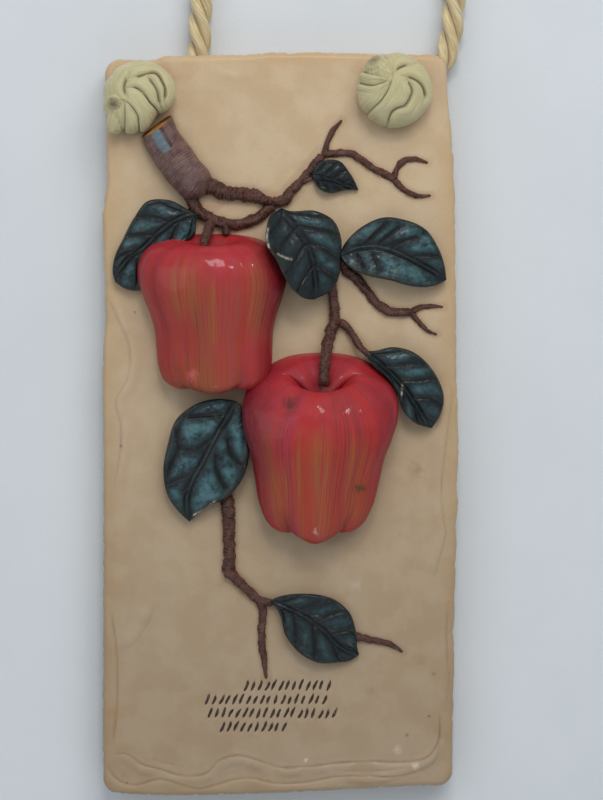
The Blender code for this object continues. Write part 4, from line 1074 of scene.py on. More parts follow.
def edge_ring(columns, rows, inset):
    """The rim of the grid, in order, at an inset from the outline."""
    scale_x = (HALF_WIDTH - inset) / (HALF_WIDTH - FRONT_ROUNDING)
    scale_z = (HALF_HEIGHT - inset) / (HALF_HEIGHT - FRONT_ROUNDING)
    low_x, high_x = columns[0], columns[-1]
    low_z, high_z = rows[0], rows[-1]
    flat_x = HALF_WIDTH - CORNER_RADIUS
    flat_z = HALF_HEIGHT - CORNER_RADIUS

    def spread(values, flat, scale, outer):
        over = np.clip((np.abs(values) - flat) / (outer - flat), 0, 1)
        return np.sign(values) * (np.minimum(np.abs(values), flat) + over * (outer * scale - flat))

    x_line = spread(columns, flat_x, scale_x, high_x)
    z_line = spread(rows, flat_z, scale_z, high_z)
    x = np.concatenate([x_line, np.full(len(rows) - 2, high_x * scale_x), x_line[::-1],
                        np.full(len(rows) - 2, low_x * scale_x)])
    z = np.concatenate([np.full(len(columns), low_z * scale_z), z_line[1:-1],
                        np.full(len(columns), high_z * scale_z), z_line[1:-1][::-1]])
    return bent_outline(*rounded(x, z, inset))


def build_slab():
    """The slab's front as a grid, then rings of faces down its sides and one face for its back."""
    columns = grid_line(((-HALF_WIDTH + FRONT_ROUNDING, 0.5 / FINE), (STROKES_LEFT, STROKE_SPACING),
                         (STROKES_RIGHT, 0.55 / FINE), (HALF_WIDTH - FRONT_ROUNDING, 1.0)))
    rows = grid_line(((-HALF_HEIGHT + FRONT_ROUNDING, 0.42 / FINE), (STROKES_FOOT, STROKE_SPACING),
                      (STROKES_TOP, 0.75 / FINE), (HALF_HEIGHT - FRONT_ROUNDING, 1.0)))
    grid_x, grid_z = np.meshgrid(columns, rows)
    flat_x, flat_z = bent_outline(*rounded(grid_x, grid_z, FRONT_ROUNDING))
    rise, hollow = slab_form(flat_x, flat_z)
    vertices = [world(flat_x, flat_z, rise).reshape(-1, 3)]
    values = [hollow.ravel()]
    index = np.arange(len(rows) * len(columns)).reshape(len(rows), len(columns))
    faces = bridged(len(rows), len(columns), closed_ring=False)
    ring = np.concatenate([index[0], index[1:-1, -1], index[-1, ::-1], index[1:-1, 0][::-1]])
    ring_rise = rise.ravel()[ring]
    count = len(ring)
    layers = [(FRONT_ROUNDING * (1 - math.sin(turn)), -FRONT_ROUNDING * (1 - math.cos(turn)))
              for turn in np.radians((22, 45, 68, 90))]
    layers += [(0.0, drop) for drop in (*WALL_DROPS, BACK_ROUNDING - SLAB_THICKNESS)]
    layers += [(0.3 * BACK_ROUNDING, 0.3 * BACK_ROUNDING - SLAB_THICKNESS), (BACK_ROUNDING, -SLAB_THICKNESS)]
    previous = ring
    begin = len(rows) * len(columns)
    for inset, drop in layers:
        x, z = edge_ring(columns, rows, inset)
        keep = max(0.0, 1 + drop / FRONT_ROUNDING)
        outline = np.stack([x, z], axis=-1)
        bites = np.clip(waves(outline, BITE_SIZE, 31), 0, 1.5) ** 2
        torn = TORN_EDGE * (bites + np.clip(waves(outline, NICK_SIZE, 32), 0, 1))
        soft = np.clip(0.12 + 0.12 * waves(outline + drop, 14.0, 33), 0, 0.4) * (drop > -11)
        wobble = EDGE_INSET + (torn + soft) * min(1.0, -drop / FRONT_ROUNDING)
        vertices.append(world(x * (1 - wobble / HALF_WIDTH), z * (1 - wobble / HALF_HEIGHT),
                              drop + ring_rise * keep))
        values.append(np.zeros(count))
        here = np.arange(begin, begin + count)
        faces += joined(previous, here)
        previous = here
        begin += count
    faces.append(previous.tolist())
    return make_mesh("cast_slab", np.vstack(vertices), faces, {"hollow": np.concatenate(values)})


def channel_cutter(name, path):
    """A round-bottomed groove in the slab's back, along the rope."""
    half = rope_depth
    turn = np.linspace(0, math.pi, 17)
    round_bottom = np.column_stack([half * np.cos(turn), -half - half * np.sin(turn)])
    section = np.vstack([(half, 1.0), round_bottom, (-half, 1.0)])
    ahead = way_along(path)
    x = path[:, None, 0] + ahead[:, None, 1] * section[None, :, 0]
    z = path[:, None, 1] - ahead[:, None, 0] * section[None, :, 0]
    y = np.tile(section[:, 1], (len(path), 1))
    return make_mesh(name, np.stack([x, y, z], axis=-1) * MM, capped_tube(len(path), len(section)))


def hole_cutter(name, place):
    """A round bar through the slab, where the rope's end goes."""
    turn = full_turn(40)
    radius = ROPE_RADIUS + HOLE_PLAY
    rings = [world(place[0] + radius * np.cos(turn), place[1] + radius * np.sin(turn), rise + 0 * turn)
             for rise in (8.0, -SLAB_THICKNESS - 2.0)]
    return make_mesh(name, np.vstack(rings), capped_tube(2, len(turn)))


def cut_out(target, cutters):
    """Cuts the helper shapes out of the target and removes them."""
    group = bpy.data.collections.new("cutters")
    for cutter in cutters:
        group.objects.link(cutter)
    modifier = target.modifiers.new("cut", "BOOLEAN")
    modifier.operation = "DIFFERENCE"
    modifier.operand_type = "COLLECTION"
    modifier.collection = group
    modifier.solver = "EXACT"
    bpy.context.view_layer.update()
    result = bpy.data.meshes.new_from_object(target.evaluated_get(bpy.context.evaluated_depsgraph_get()))
    target.modifiers.clear()
    target.data = result
    for cutter in list(group.objects):
        bpy.data.objects.remove(cutter)
    bpy.data.collections.remove(group)


cast_slab = build_slab()
fine_route = on_route(160)
above_top = HALF_HEIGHT + 8.0
left_channel = np.array([LEFT_HOLE] + [place for place in fine_route[:80] if place[1] < above_top])
right_channel = np.array([RIGHT_HOLE] + [place for place in fine_route[:80:-1] if place[1] < above_top])
cut_out(cast_slab, [
    channel_cutter("left_channel", left_channel), channel_cutter("right_channel", right_channel),
    hole_cutter("left_hole", LEFT_HOLE), hole_cutter("right_hole", RIGHT_HOLE)])
print("the slab has", len(cast_slab.data.vertices), "vertices")

# %% [markdown]
# The twigs' thin paint ran into the slab beside them, and handling has yellowed the slab's border. Both
# are stored on its vertices for the paint. The back is one flat cast face, so it is shaded flat.

# %% Stains beside the twigs and along the border
BLEED_HALF = 0.55
BLEED_REACH = 6.0
BORDER_HALF = 3.5
slab_places = places_of(cast_slab)
bleed = np.zeros(len(slab_places))
for stem in [*STEMS.values(), BRANCH]:
    line = np.array(stem)[:, :2]
    width = np.max(np.array(stem)[:, 3])
    near = near_box(slab_places[:, ::2], line, BLEED_REACH)
    gap = nearest_line(slab_places[near][:, ::2], [line])[0]
    bleed[near] = np.maximum(bleed[near], hump(np.maximum(gap - width, 0), BLEED_HALF))
edge_gap = np.minimum(HALF_WIDTH - np.abs(slab_places[:, 0]), HALF_HEIGHT - np.abs(slab_places[:, 2]))
border = hump(np.maximum(edge_gap - 1.5, 0), BORDER_HALF) * (slab_places[:, 1] < -BACK_ROUNDING)
keep_value(cast_slab.data, "bleed", bleed * (slab_places[:, 1] < -9))
keep_value(cast_slab.data, "border", border)
for polygon in cast_slab.data.polygons:
    if polygon.normal.y > 0.99:
        polygon.use_smooth = False
print("vertices with bled paint", int(np.sum(bleed > 0.1)))

# %% [markdown]
# The casting itself is a waxy cream resin. It is mottled with a warmer peach, yellower at the handled
# edge, brown in the creases and beside the twigs, and it carries a few old stains, pits and scuffs.

# %% Slab paint
# Each stain: its place, radius, strength and colour.
STAINS = (
    ((45.3, 0, -15.3), 4.0, 0.42, rgb(150, 108, 66)), ((47.0, 0, -79.0), 3.2, 0.36, rgb(162, 118, 66)),
    ((30.0, 0, -89.3), 2.6, 0.34, rgb(160, 116, 68)), ((-55.3, 0, -96.3), 4.0, 0.4, rgb(176, 132, 74)),
    ((-51.6, 0, -117.2), 3.0, 0.36, rgb(152, 104, 74)), ((-48.3, 0, 37.3), 0.7, 0.8, rgb(70, 52, 40)),
    ((-53.0, 0, -7.3), 0.8, 0.7, rgb(80, 60, 44)), ((51.3, 0, -83.3), 1.3, 0.6, rgb(140, 100, 66)),
    ((49.7, 0, -97.3), 0.8, 0.8, rgb(96, 70, 48)), ((42.3, 0, -103.7), 1.0, 0.6, rgb(110, 82, 56)),
    ((45.0, 0, -114.0), 1.6, 0.5, rgb(236, 230, 216)), ((8.7, 0, -112.0), 1.0, 0.5, rgb(236, 230, 216)),
    ((39.3, 0, -108.7), 2.2, 0.3, rgb(236, 230, 216)), ((25.0, 0, -53.7), 3.0, 0.16, rgb(240, 232, 218)),
    ((-51.0, 0, -119.6), 0.5, 0.9, rgb(46, 36, 30)))
DARKENING_TOP = 95.0
DARKENING_FOOT = -115.0
DARKENING_COLOUR = (0.66, 0.65, 0.66, 1.0)
LIGHT_DEPTHS = (0.004, 0.0025, 0.0015)
material, tree, shader = new_material("cast_resin", 0.4, 0.1)
colour = mottle(tree, rgb(206, 180, 145), rgb(200, 169, 131), 0.03, 0.45)
colour = mottle(tree, colour, rgb(226, 205, 172), 0.11, 0.3)
colour = wash(tree, colour, rgb(198, 160, 106), "border", 0.4)
colour = wash(tree, colour, rgb(150, 92, 50), "bleed", 0.22)
colour = wash(tree, colour, rgb(112, 80, 50), "hollow", 0.62)
# Darker towards the foot: the colour is multiplied by a grey that grows steadily from the top to the foot.
height = node(tree, "ShaderNodeSeparateXYZ", {0: millimetres(tree)}).outputs["Z"]
colour = mix_colour(tree, limits(tree, height, DARKENING_TOP, DARKENING_FOOT), colour, DARKENING_COLOUR, "MULTIPLY")
tree.links.new(stains(tree, colour, STAINS), shader.inputs["Base Color"])
shader.inputs["Subsurface Weight"].default_value = 0.12
shader.inputs["Subsurface Radius"].default_value = LIGHT_DEPTHS
shader.inputs["Subsurface Scale"].default_value = 1.0
grain(tree, shader, noise(tree, millimetres(tree), 1.1, 5.0, 0.6), 0.00025, 0.35)
dress(cast_slab, material)

# %% [markdown]
# The dark paint in the strokes is a thin ribbon in the bottom of each one, which follows its groove.
# It is widest in the middle, as a brush leaves it, and domed a little, so that its edge catches light.

# %% Paint in the strokes
RIBBON_HALF = 0.46
RIBBON_DOME = 0.05
RIBBON_SINK = 0.12


def stroke_ribbons():
    """All the ribbons as one piece."""
    across = np.linspace(-1, 1, 7)
    vertices = []
    faces = []
    begin = 0
    for line in strokes:
        path = smooth_through(line, 14)
        run = np.linspace(0, 1, len(path))
        ahead = way_along(path)
        half = RIBBON_HALF * (1 - 0.75 * np.abs(2 * run - 1) ** 3) * (1 + 0.12 * np.sin(9 * run + path[0, 0]))
        x = path[:, None, 0] + ahead[:, None, 1] * half[:, None] * across[None, :]
        z = path[:, None, 1] - ahead[:, None, 0] * half[:, None] * across[None, :]
        rise = slab_form(x, z)[0]
        top = rise + RIBBON_DOME * (1 - np.abs(across[None, :]) ** 4)
        ring_x = np.concatenate([x, x[:, ::-1]], axis=1)
        ring_z = np.concatenate([z, z[:, ::-1]], axis=1)
        ring_rise = np.concatenate([top, rise[:, ::-1] - RIBBON_SINK], axis=1)
        vertices.append(world(ring_x, ring_z, ring_rise).reshape(-1, 3))
        faces += [[begin + corner for corner in face] for face in capped_tube(*ring_x.shape)]
        begin += ring_x.size
    return make_mesh("stroke_paint_rows", np.vstack(vertices), faces)


stroke_rows = stroke_ribbons()
material, tree, shader = new_material("stroke_paint", 0.5)
colour = mottle(tree, rgb(52, 33, 24), rgb(84, 55, 38), 0.5, 0.6)
tree.links.new(colour, shader.inputs["Base Color"])
grain(tree, shader, noise(tree, millimetres(tree), 3.0), 0.0002, 0.3)
dress(stroke_rows, material)

# %% [markdown]
# Each fruit is a body of revolution gone soft: round shoulders about the stem's hollow, five lobes that
# grow towards the foot, sharp clefts between them there, and sides which the maker pressed a little flat.
# Only the part that stands out of the slab is kept. Where it is deep, near the stem and in the clefts,
# a value is stored for painted shade, and the flanks in shade get painted shade as well.

# %% Fruits
# Each profile runs from the stem's hollow to the foot: share of the half width, share of the height.
UPPER_PROFILE = ((0.0, 0.12), (0.14, 0.10), (0.28, 0.04), (0.42, 0.0), (0.62, 0.005), (0.84, 0.05),
                 (0.98, 0.15), (1.0, 0.25), (0.94, 0.38), (0.85, 0.51), (0.80, 0.61), (0.78, 0.73),
                 (0.76, 0.85), (0.70, 0.94), (0.52, 1.0), (0.22, 0.97), (0.0, 0.94))
LOWER_PROFILE = ((0.0, 0.17), (0.15, 0.14), (0.30, 0.06), (0.45, 0.0), (0.65, 0.02), (0.86, 0.08),
                 (0.98, 0.17), (1.0, 0.25), (0.95, 0.38), (0.86, 0.53), (0.80, 0.68), (0.73, 0.83),
                 (0.62, 0.94), (0.44, 1.0), (0.20, 0.96), (0.0, 0.93))
FRUIT_LOBES = 5
FRUIT_LOBE_SHARE = 0.055
LOBES_FROM = 0.55
SHOULDER_TO = 0.12
BACK_LOBE_PLACE = 0.24
BACK_LOBE_WIDTH = 0.2
CLEFT_HALF = 0.5
CLEFT_DEPTH = 0.05
RIB_DEPTH = 0.008
BRUSH_FADE = 8.0


def make_fruit(name, centre, foot, top, height, half_width, tilt, axis_rise, foot_rise, depth_share,
               profile, lobe_turn, cleft_share, back_lobes, seed, shaded, brushed):
    """A lobed fruit about an axis from x = centre at the top to x = foot below, cut at the slab."""
    around = int(300 * FINE)
    stations = [(radius * half_width, share * height) for radius, share in profile]
    curve = smooth_through(stations, int(170 * FINE))
    radius, drop = curve[:, 0][:, None], curve[:, 1][:, None]
    turn = full_turn(around)[None, :]
    share = drop / height
    low = np.clip((share - LOBES_FROM) / (1 - LOBES_FROM), 0, None)
    high = np.clip(1 - share / SHOULDER_TO, 0, None)
    wave = np.cos(FRUIT_LOBES * (turn - lobe_turn))
    cleft_turn = FRUIT_LOBES * (turn - lobe_turn) % (2 * math.pi) - math.pi
    cleft = cleft_share * hump(cleft_turn, CLEFT_HALF) * np.clip(low * 1.6 - 0.55, 0, 1)
    rib = hump(cleft_turn, 1.1) * np.clip(share * 1.5, 0, 1) * (1 - low)
    swell = (1 + FRUIT_LOBE_SHARE * (low * cleft_share + 0.4 * high) * wave
             - CLEFT_DEPTH * cleft - RIB_DEPTH * rib)
    forward = radius * swell * np.cos(turn)
    x = centre + (foot - centre) * share + radius * swell * np.sin(turn)
    outer = np.minimum(1, radius / 9)
    z = top - drop - forward * math.sin(tilt) - 0.03 * cleft_share * height * low**2 * wave * outer
    z = z + 0.9 * cleft * outer
    rise = axis_rise + (foot_rise - axis_rise) * share + forward * depth_share
    back_lobe = hump(radius / half_width - BACK_LOBE_PLACE, BACK_LOBE_WIDTH)
    behind = np.clip(-np.cos(turn), 0, 1) ** 0.6 * back_lobe
    rise = rise + back_lobes * behind * (0.45 + 0.55 * np.sin(turn) ** 2)
    z = z + 0.12 * back_lobes * behind
    place = np.stack([x, z, rise], axis=-1)
    uneven = 0.22 * waves(place, 26.0, seed) * np.clip(rise / 8, 0, 1)
    rise = rise + uneven + 0.05 * waves(place, 7.0, seed + 1)
    # Painted shade: the stem's hollow and the clefts are stored as hollow, to be painted darker.
    hollow = np.clip(cleft + hump(radius / half_width, 0.2) * (share < 0.4) * 0.9, 0, 1)
    sideways = np.sin(turn) * radius / half_width
    # Painted shade: one flank of each fruit, stored as shaded_side, is painted darker.
    edge = (shaded[0] * np.clip((-sideways - 0.5) / 0.4, 0, 1)
            + shaded[1] * np.clip((sideways - 0.5) / 0.4, 0, 1))
    faced = np.clip(np.cos(turn + 0.25) * 1.6 - 0.55, 0, 1) * np.clip(share * 4 - 0.35, 0, 1)
    ochre = 0 * x
    for middle, half, low_end, high_end in brushed:
        ends = (np.clip((z - low_end) / BRUSH_FADE + 0.5, 0, 1)
                * np.clip((high_end - z) / BRUSH_FADE + 0.5, 0, 1))
        ochre = np.maximum(ochre, ends * hump(x - middle, half) * (np.cos(turn) > 0))
    fruit = make_mesh(name, world(x, z, rise), bridged(len(curve), around), {
        "hollow": hollow, "shaded_side": edge, "ochre": ochre, "faced": faced,
        "around": turn * half_width + 0 * x, "down": drop + 0 * x})
    cut_at_slab(fruit)
    return fruit


def cut_at_slab(fruit):
    """Cuts off what lies deep in the slab and closes the cut."""
    shape = bmesh.new()
    shape.from_mesh(fruit.data)
    everything = list(shape.verts) + list(shape.edges) + list(shape.faces)
    plane = (0, -(SLAB_THICKNESS - RELIEF_SINK) * MM, 0)
    bmesh.ops.bisect_plane(shape, geom=everything, plane_co=plane, plane_no=(0, 1, 0), clear_outer=True)
    bmesh.ops.edgeloop_fill(shape, edges=[edge for edge in shape.edges if edge.is_boundary])
    bmesh.ops.recalc_face_normals(shape, faces=shape.faces)
    shape.to_mesh(fruit.data)
    shape.free()


def fruit_paint(name, base, patch, streak, shift, marks):
    """Glossy red paint with brown and ochre upright brush strokes over it, and painted shade at the stem, in
    the clefts and on the shaded flanks.
    """
    material, tree, shader = new_material(name, 0.45, 0.3)
    shader.inputs["Coat Roughness"].default_value = 0.08
    shader.inputs["Specular IOR Level"].default_value = 0.3
    colour = mottle(tree, base, rgb(182, 50, 52), 0.13, 0.6)
    colour = wash(tree, colour, patch, "faced", 0.8)
    layers = ((streak, times(tree, stored_value(tree, "faced"), 0.9), 0.0, 0.0),
              (rgb(164, 52, 84), 0.5, 57.0, 0.0),
              (rgb(108, 40, 42), 0.6, 31.0, 0.0),
              (rgb(156, 92, 44), stored_value(tree, "ochre"), 83.0, 1.0))
    for paint, amount, further, evenness in layers:
        colour = effect(tree, brush_streaks, Color=colour, Streak_Color=paint, Amount=amount,
                        Shift=shift + further, Evenness=evenness).outputs["Color"]
    # Painted shade on the fruit's shaded flanks.
    colour = wash(tree, colour, rgb(92, 20, 32), "shaded_side", 0.8)
    # Painted shade in the stem's hollow and the clefts.
    colour = wash(tree, colour, rgb(92, 34, 30), "hollow", 0.85)
    tree.links.new(stains(tree, colour, marks), shader.inputs["Base Color"])
    grain(tree, shader, noise(tree, millimetres(tree, (0.9, 0.9, 0.22)), 1.0, 4.0), 0.0004, 0.35)
    return material


# Each brushed streak: the middle and half width of it in x, then its lowest and highest z.
UPPER_BRUSHED = ((-31.3, 5.0, 35.7, 53.0), (-21.8, 2.2, 24.5, 46.8), (-7.5, 3.4, 29.0, 53.0),
                 (-27.4, 9.0, 11.0, 19.7))
LOWER_BRUSHED = ((13.6, 3.8, -37.0, -3.3), (25.9, 4.6, -33.6, -5.7), (0.1, 4.4, -31.0, -15.0))
upper_fruit = make_fruit("upper_fruit", centre=-22.8, foot=-21.2, top=60.8, height=47.8, half_width=24.7,
                         tilt=0.2, axis_rise=6.0, foot_rise=3.5, depth_share=0.50,
                         profile=UPPER_PROFILE, lobe_turn=math.radians(66), cleft_share=0.35,
                         back_lobes=0.0, seed=40, shaded=(0.2, 1.0), brushed=UPPER_BRUSHED)
lower_fruit = make_fruit("lower_fruit", centre=13.9, foot=11.7, top=16.4, height=48.9, half_width=25.9,
                         tilt=0.5236, axis_rise=8.0, foot_rise=4.0, depth_share=0.46,
                         profile=LOWER_PROFILE, lobe_turn=0.0, cleft_share=0.6, back_lobes=5.5, seed=50,
                         shaded=(1.0, 0.5), brushed=LOWER_BRUSHED)
UPPER_MARKS = (((-28.7, 0, 16.0), 3.0, 0.7, rgb(210, 100, 104)),)
LOWER_MARKS = (((26.2, 0, -21.0), 3.2, 1.0, rgb(92, 58, 28)), ((3.3, 0, 6.5), 4.2, 0.9, rgb(84, 40, 32)))
upper_paint = fruit_paint("upper_fruit_paint", rgb(176, 40, 38), rgb(158, 62, 40), rgb(146, 88, 44), 3.0,
                          UPPER_MARKS)
lower_paint = fruit_paint("lower_fruit_paint", rgb(174, 36, 36), rgb(164, 56, 38), rgb(152, 88, 42), 17.0,
                          LOWER_MARKS)
dress(upper_fruit, upper_paint)
dress(lower_fruit, lower_paint)

# %% [markdown]
# A leaf is a thin, bent blade. Its outline comes from its half widths along the midrib. The midrib is a
# raised thread between two grooves, the side veins are pressed lines, and the blade puffs up between
# them. Where the side veins of the real leaf are plain to see they are drawn as lines, and elsewhere
# they are spaced evenly.

# %% Leaves
LEAF_SHARES = (0.04, 0.15, 0.30, 0.50, 0.70, 0.85, 0.96)
VEIN_COUNT = 4.5
VEIN_SLANT = 1.1
WIDTH_SCALE = 30
BLADE_PUFF = 0.4
# Each leaf: its base and tip, how far the midrib bows, the half widths on its left and right at the shares
# above, the rise of base, middle and tip, and how far its left and right edges lift.
LEAVES = {
    "leaf_small": ((10.6, 82.4), (26.0, 78.0), 0.3, (4.4, 5.9, 7.0, 7.1, 4.9, 2.8, 0.8),
                   (-0.6, -2.6, -3.6, -3.4, -1.6, -0.7, -0.2), (2.4, 1.0, 1.6), (-0.6, -0.6)),
    "leaf_upper_left": ((-26.7, 69.3), (-54.7, 47.3), -3.5, (0.3, 4.0, 4.2, 5.4, 7.4, 7.5, 4.0),
                        (-2.6, -10.5, -14.1, -12.5, -9.3, -6.7, -3.1), (4.6, 1.6, 3.0), (-0.8, -1.0)),
    "leaf_centre": ((0.7, 71.3), (11.3, 41.3), 4.0, (1.5, 10.4, 14.7, 15.0, 12.4, 10.4, 6.8),
                    (-4.4, -6.9, -8.7, -7.4, -6.6, -5.3, -2.8), (8.0, 2.2, 8.5), (-3.0, 6.5)),
    "leaf_right": ((20.0, 57.0), (55.2, 48.0), 4.6, (4.5, 10.4, 14.5, 15.6, 14.3, 9.7, 3.7),
                   (-2.2, -4.5, -5.2, -4.9, -5.0, -3.9, -1.5), (4.2, 2.0, 3.4), (-1.2, 1.4)),
    "leaf_lower_left": ((-14.7, 7.6), (-30.0, -32.3), -3.4, (3.6, 6.7, 9.9, 11.3, 9.2, 3.3, 0.8),
                        (-6.2, -12.4, -16.0, -15.7, -14.0, -10.5, -4.2), (5.0, 2.6, 3.4), (-0.4, -1.2)),
    "leaf_lower_right": ((28.7, 24.2), (50.4, -1.2), 2.2, (1.5, 7.7, 11.3, 12.6, 11.7, 9.4, 4.5),
                         (-0.9, -1.4, -0.6, -1.0, -3.6, -3.2, -1.1), (5.0, 2.4, 3.4), (-1.4, 0.6)),
    "leaf_bottom": ((-3.2, -58.8), (26.2, -76.7), 1.3, (2.1, 5.7, 8.9, 11.3, 10.4, 6.3, 1.3),
                    (-0.4, -2.2, -6.9, -9.5, -9.1, -6.1, -2.9), (2.6, 2.0, 1.8), (-0.6, -0.6)),
}
MIDRIBS = {
    "leaf_small": ((11.0, 82.3), (18.0, 80.7), (25.7, 78.0)),
    "leaf_upper_left": ((-28.0, 69.7), (-32.7, 68.3), (-39.0, 64.3), (-45.3, 58.3), (-50.3, 54.7),
                        (-54.0, 50.0)),
    "leaf_centre": ((1.3, 69.7), (5.3, 64.8), (9.0, 59.5), (10.7, 54.7), (11.7, 48.0), (12.0, 41.7)),
    "leaf_right": ((20.2, 56.9), (27.1, 58.7), (34.5, 58.4), (38.1, 57.2), (43.5, 54.8), (49.4, 51.6),
                   (55.1, 48.3)),
    "leaf_lower_left": ((-15.0, 6.5), (-17.3, 2.2), (-21.0, -4.1), (-23.3, -8.7), (-25.7, -13.3),
                        (-28.2, -17.3), (-29.7, -20.5), (-30.8, -24.2), (-30.7, -30.5)),
    "leaf_lower_right": ((28.7, 23.7), (34.7, 18.7), (39.7, 13.8), (43.7, 8.3), (49.0, 0.0)),
    "leaf_bottom": ((-2.3, -59.3), (3.3, -61.7), (9.7, -65.0), (15.3, -69.2), (20.0, -74.0), (25.7, -76.7)),
}
DRAWN_VEINS = {
    "leaf_right": (((28.6, 59.9), (31.5, 62.9), (35.1, 66.2)), ((37.2, 58.4), (40.5, 60.2), (45.2, 61.7)),
                   ((43.8, 55.4), (46.4, 55.9), (52.4, 55.7)), ((25.6, 56.3), (27.7, 52.2)),
                   ((31.0, 56.0), (32.7, 52.2)), ((32.0, 58.6), (35.0, 61.5), (39.5, 65.0))),
    "leaf_lower_left": (((-19.0, 3.2), (-31.7, 2.5)), ((-23.0, -5.3), (-27.9, -8.4), (-32.5, -8.7)),
                        ((-33.7, -8.7), (-38.0, -17.7)), ((-33.3, -8.7), (-34.0, -1.8)), ((-28.2, -15.9),
                        (-38.2, -20.2)), ((-29.7, -19.0), (-31.7, -21.9)), ((-12.4, 3.9), (-10.1, -6.4),
                        (-10.4, -12.7)), ((-17.0, -4.7), (-16.4, -9.0), (-11.8, -14.7)), ((-21.0, -10.4),
                        (-21.0, -14.7), (-17.9, -21.3))),
}
LEAF_LIP = 0.35
MIDRIB_SINK = 0.9
MIDRIB_SIZE = 0.95
VEIN_SIZE = 0.7
CHIP_AND_HIGHLIGHT_HALF = 0.26
RIM_RINGS = ((0.18, 0.3), (0.16, 0.8))
FOOT_SHARE = 0.95
# How much blue-green is brushed onto the two halves of a leaf, where that isn't 1.
BRUSHED_HALVES = {"leaf_centre": (1.0, 0.25), "leaf_lower_left": (1.25, 1.25), "leaf_bottom": (0.5, 0.5),
                  "leaf_small": (0.5, 0.5), "leaf_upper_left": (1.5, 1.0), "leaf_right": (1.5, 1.1)}
# Pale marks along leaf edges: on the lower right leaf the paint is off, down to the white casting; on the
# centre and lower left leaves they are painted highlights on the rolled and lower rims.
CHIPS_AND_HIGHLIGHTS = {"leaf_centre": (((-3.9, 64.3), (-4.2, 61.0), (-3.5, 58.0)),
                         ((-0.6, 55.9), (1.8, 54.6), (4.0, 54.2))),
         "leaf_lower_left": (((-28.6, -30.2), (-25.0, -28.2), (-21.6, -25.6)),),
         "leaf_lower_right": (((40.5, 13.0), (40.3, 9.8)),)}


def soft_width(share, widths):
    """Half widths along a leaf, on a smooth curve from its base to its tip."""
    heights = np.array((0.0, *widths, 0.0)) / WIDTH_SCALE
    curve = smooth_through(list(zip((0.0, *LEAF_SHARES, 1.0), heights)), 400)
    return np.interp(share, curve[:, 0], curve[:, 1] * WIDTH_SCALE)


def blade_puff(gap):
    """How the blade rises away from a vein."""
    return BLADE_PUFF * np.clip(gap / 3.5, 0, 1) ** 0.8


def midrib_form(gap):
    """The rise across the midrib: a thread, a groove on either side, and the blade's puff beyond."""
    thread = 0.4 * MIDRIB_SIZE * hump(gap, 0.3 * MIDRIB_SIZE)
    groove = 0.55 * MIDRIB_SIZE * hump(gap - 0.75 * MIDRIB_SIZE, 0.36 * MIDRIB_SIZE)
    return thread - groove + blade_puff(gap)


def vein_form(gap):
    """The rise across a side vein, which is one narrow pressed line with a soft shoulder."""
    return 0.1 * hump(gap - 0.7, 0.4) - 0.6 * VEIN_SIZE * hump(gap, 0.45 * VEIN_SIZE) + blade_puff(gap)


def side_vein_gap(name, places, share, out, length):
    """How far each place lies from the nearest side vein."""
    if name in DRAWN_VEINS:
        return nearest_line(places, [smooth_through(line, 12) for line in DRAWN_VEINS[name]])[0]
    phase = VEIN_COUNT * share - VEIN_SLANT * out + 0.06 * waves(places, 16.0, 61)
    gap = np.abs(phase - np.round(phase)) * length / VEIN_COUNT * 0.75
    return gap + 0.5 * np.clip(out - 0.55, 0, 1)


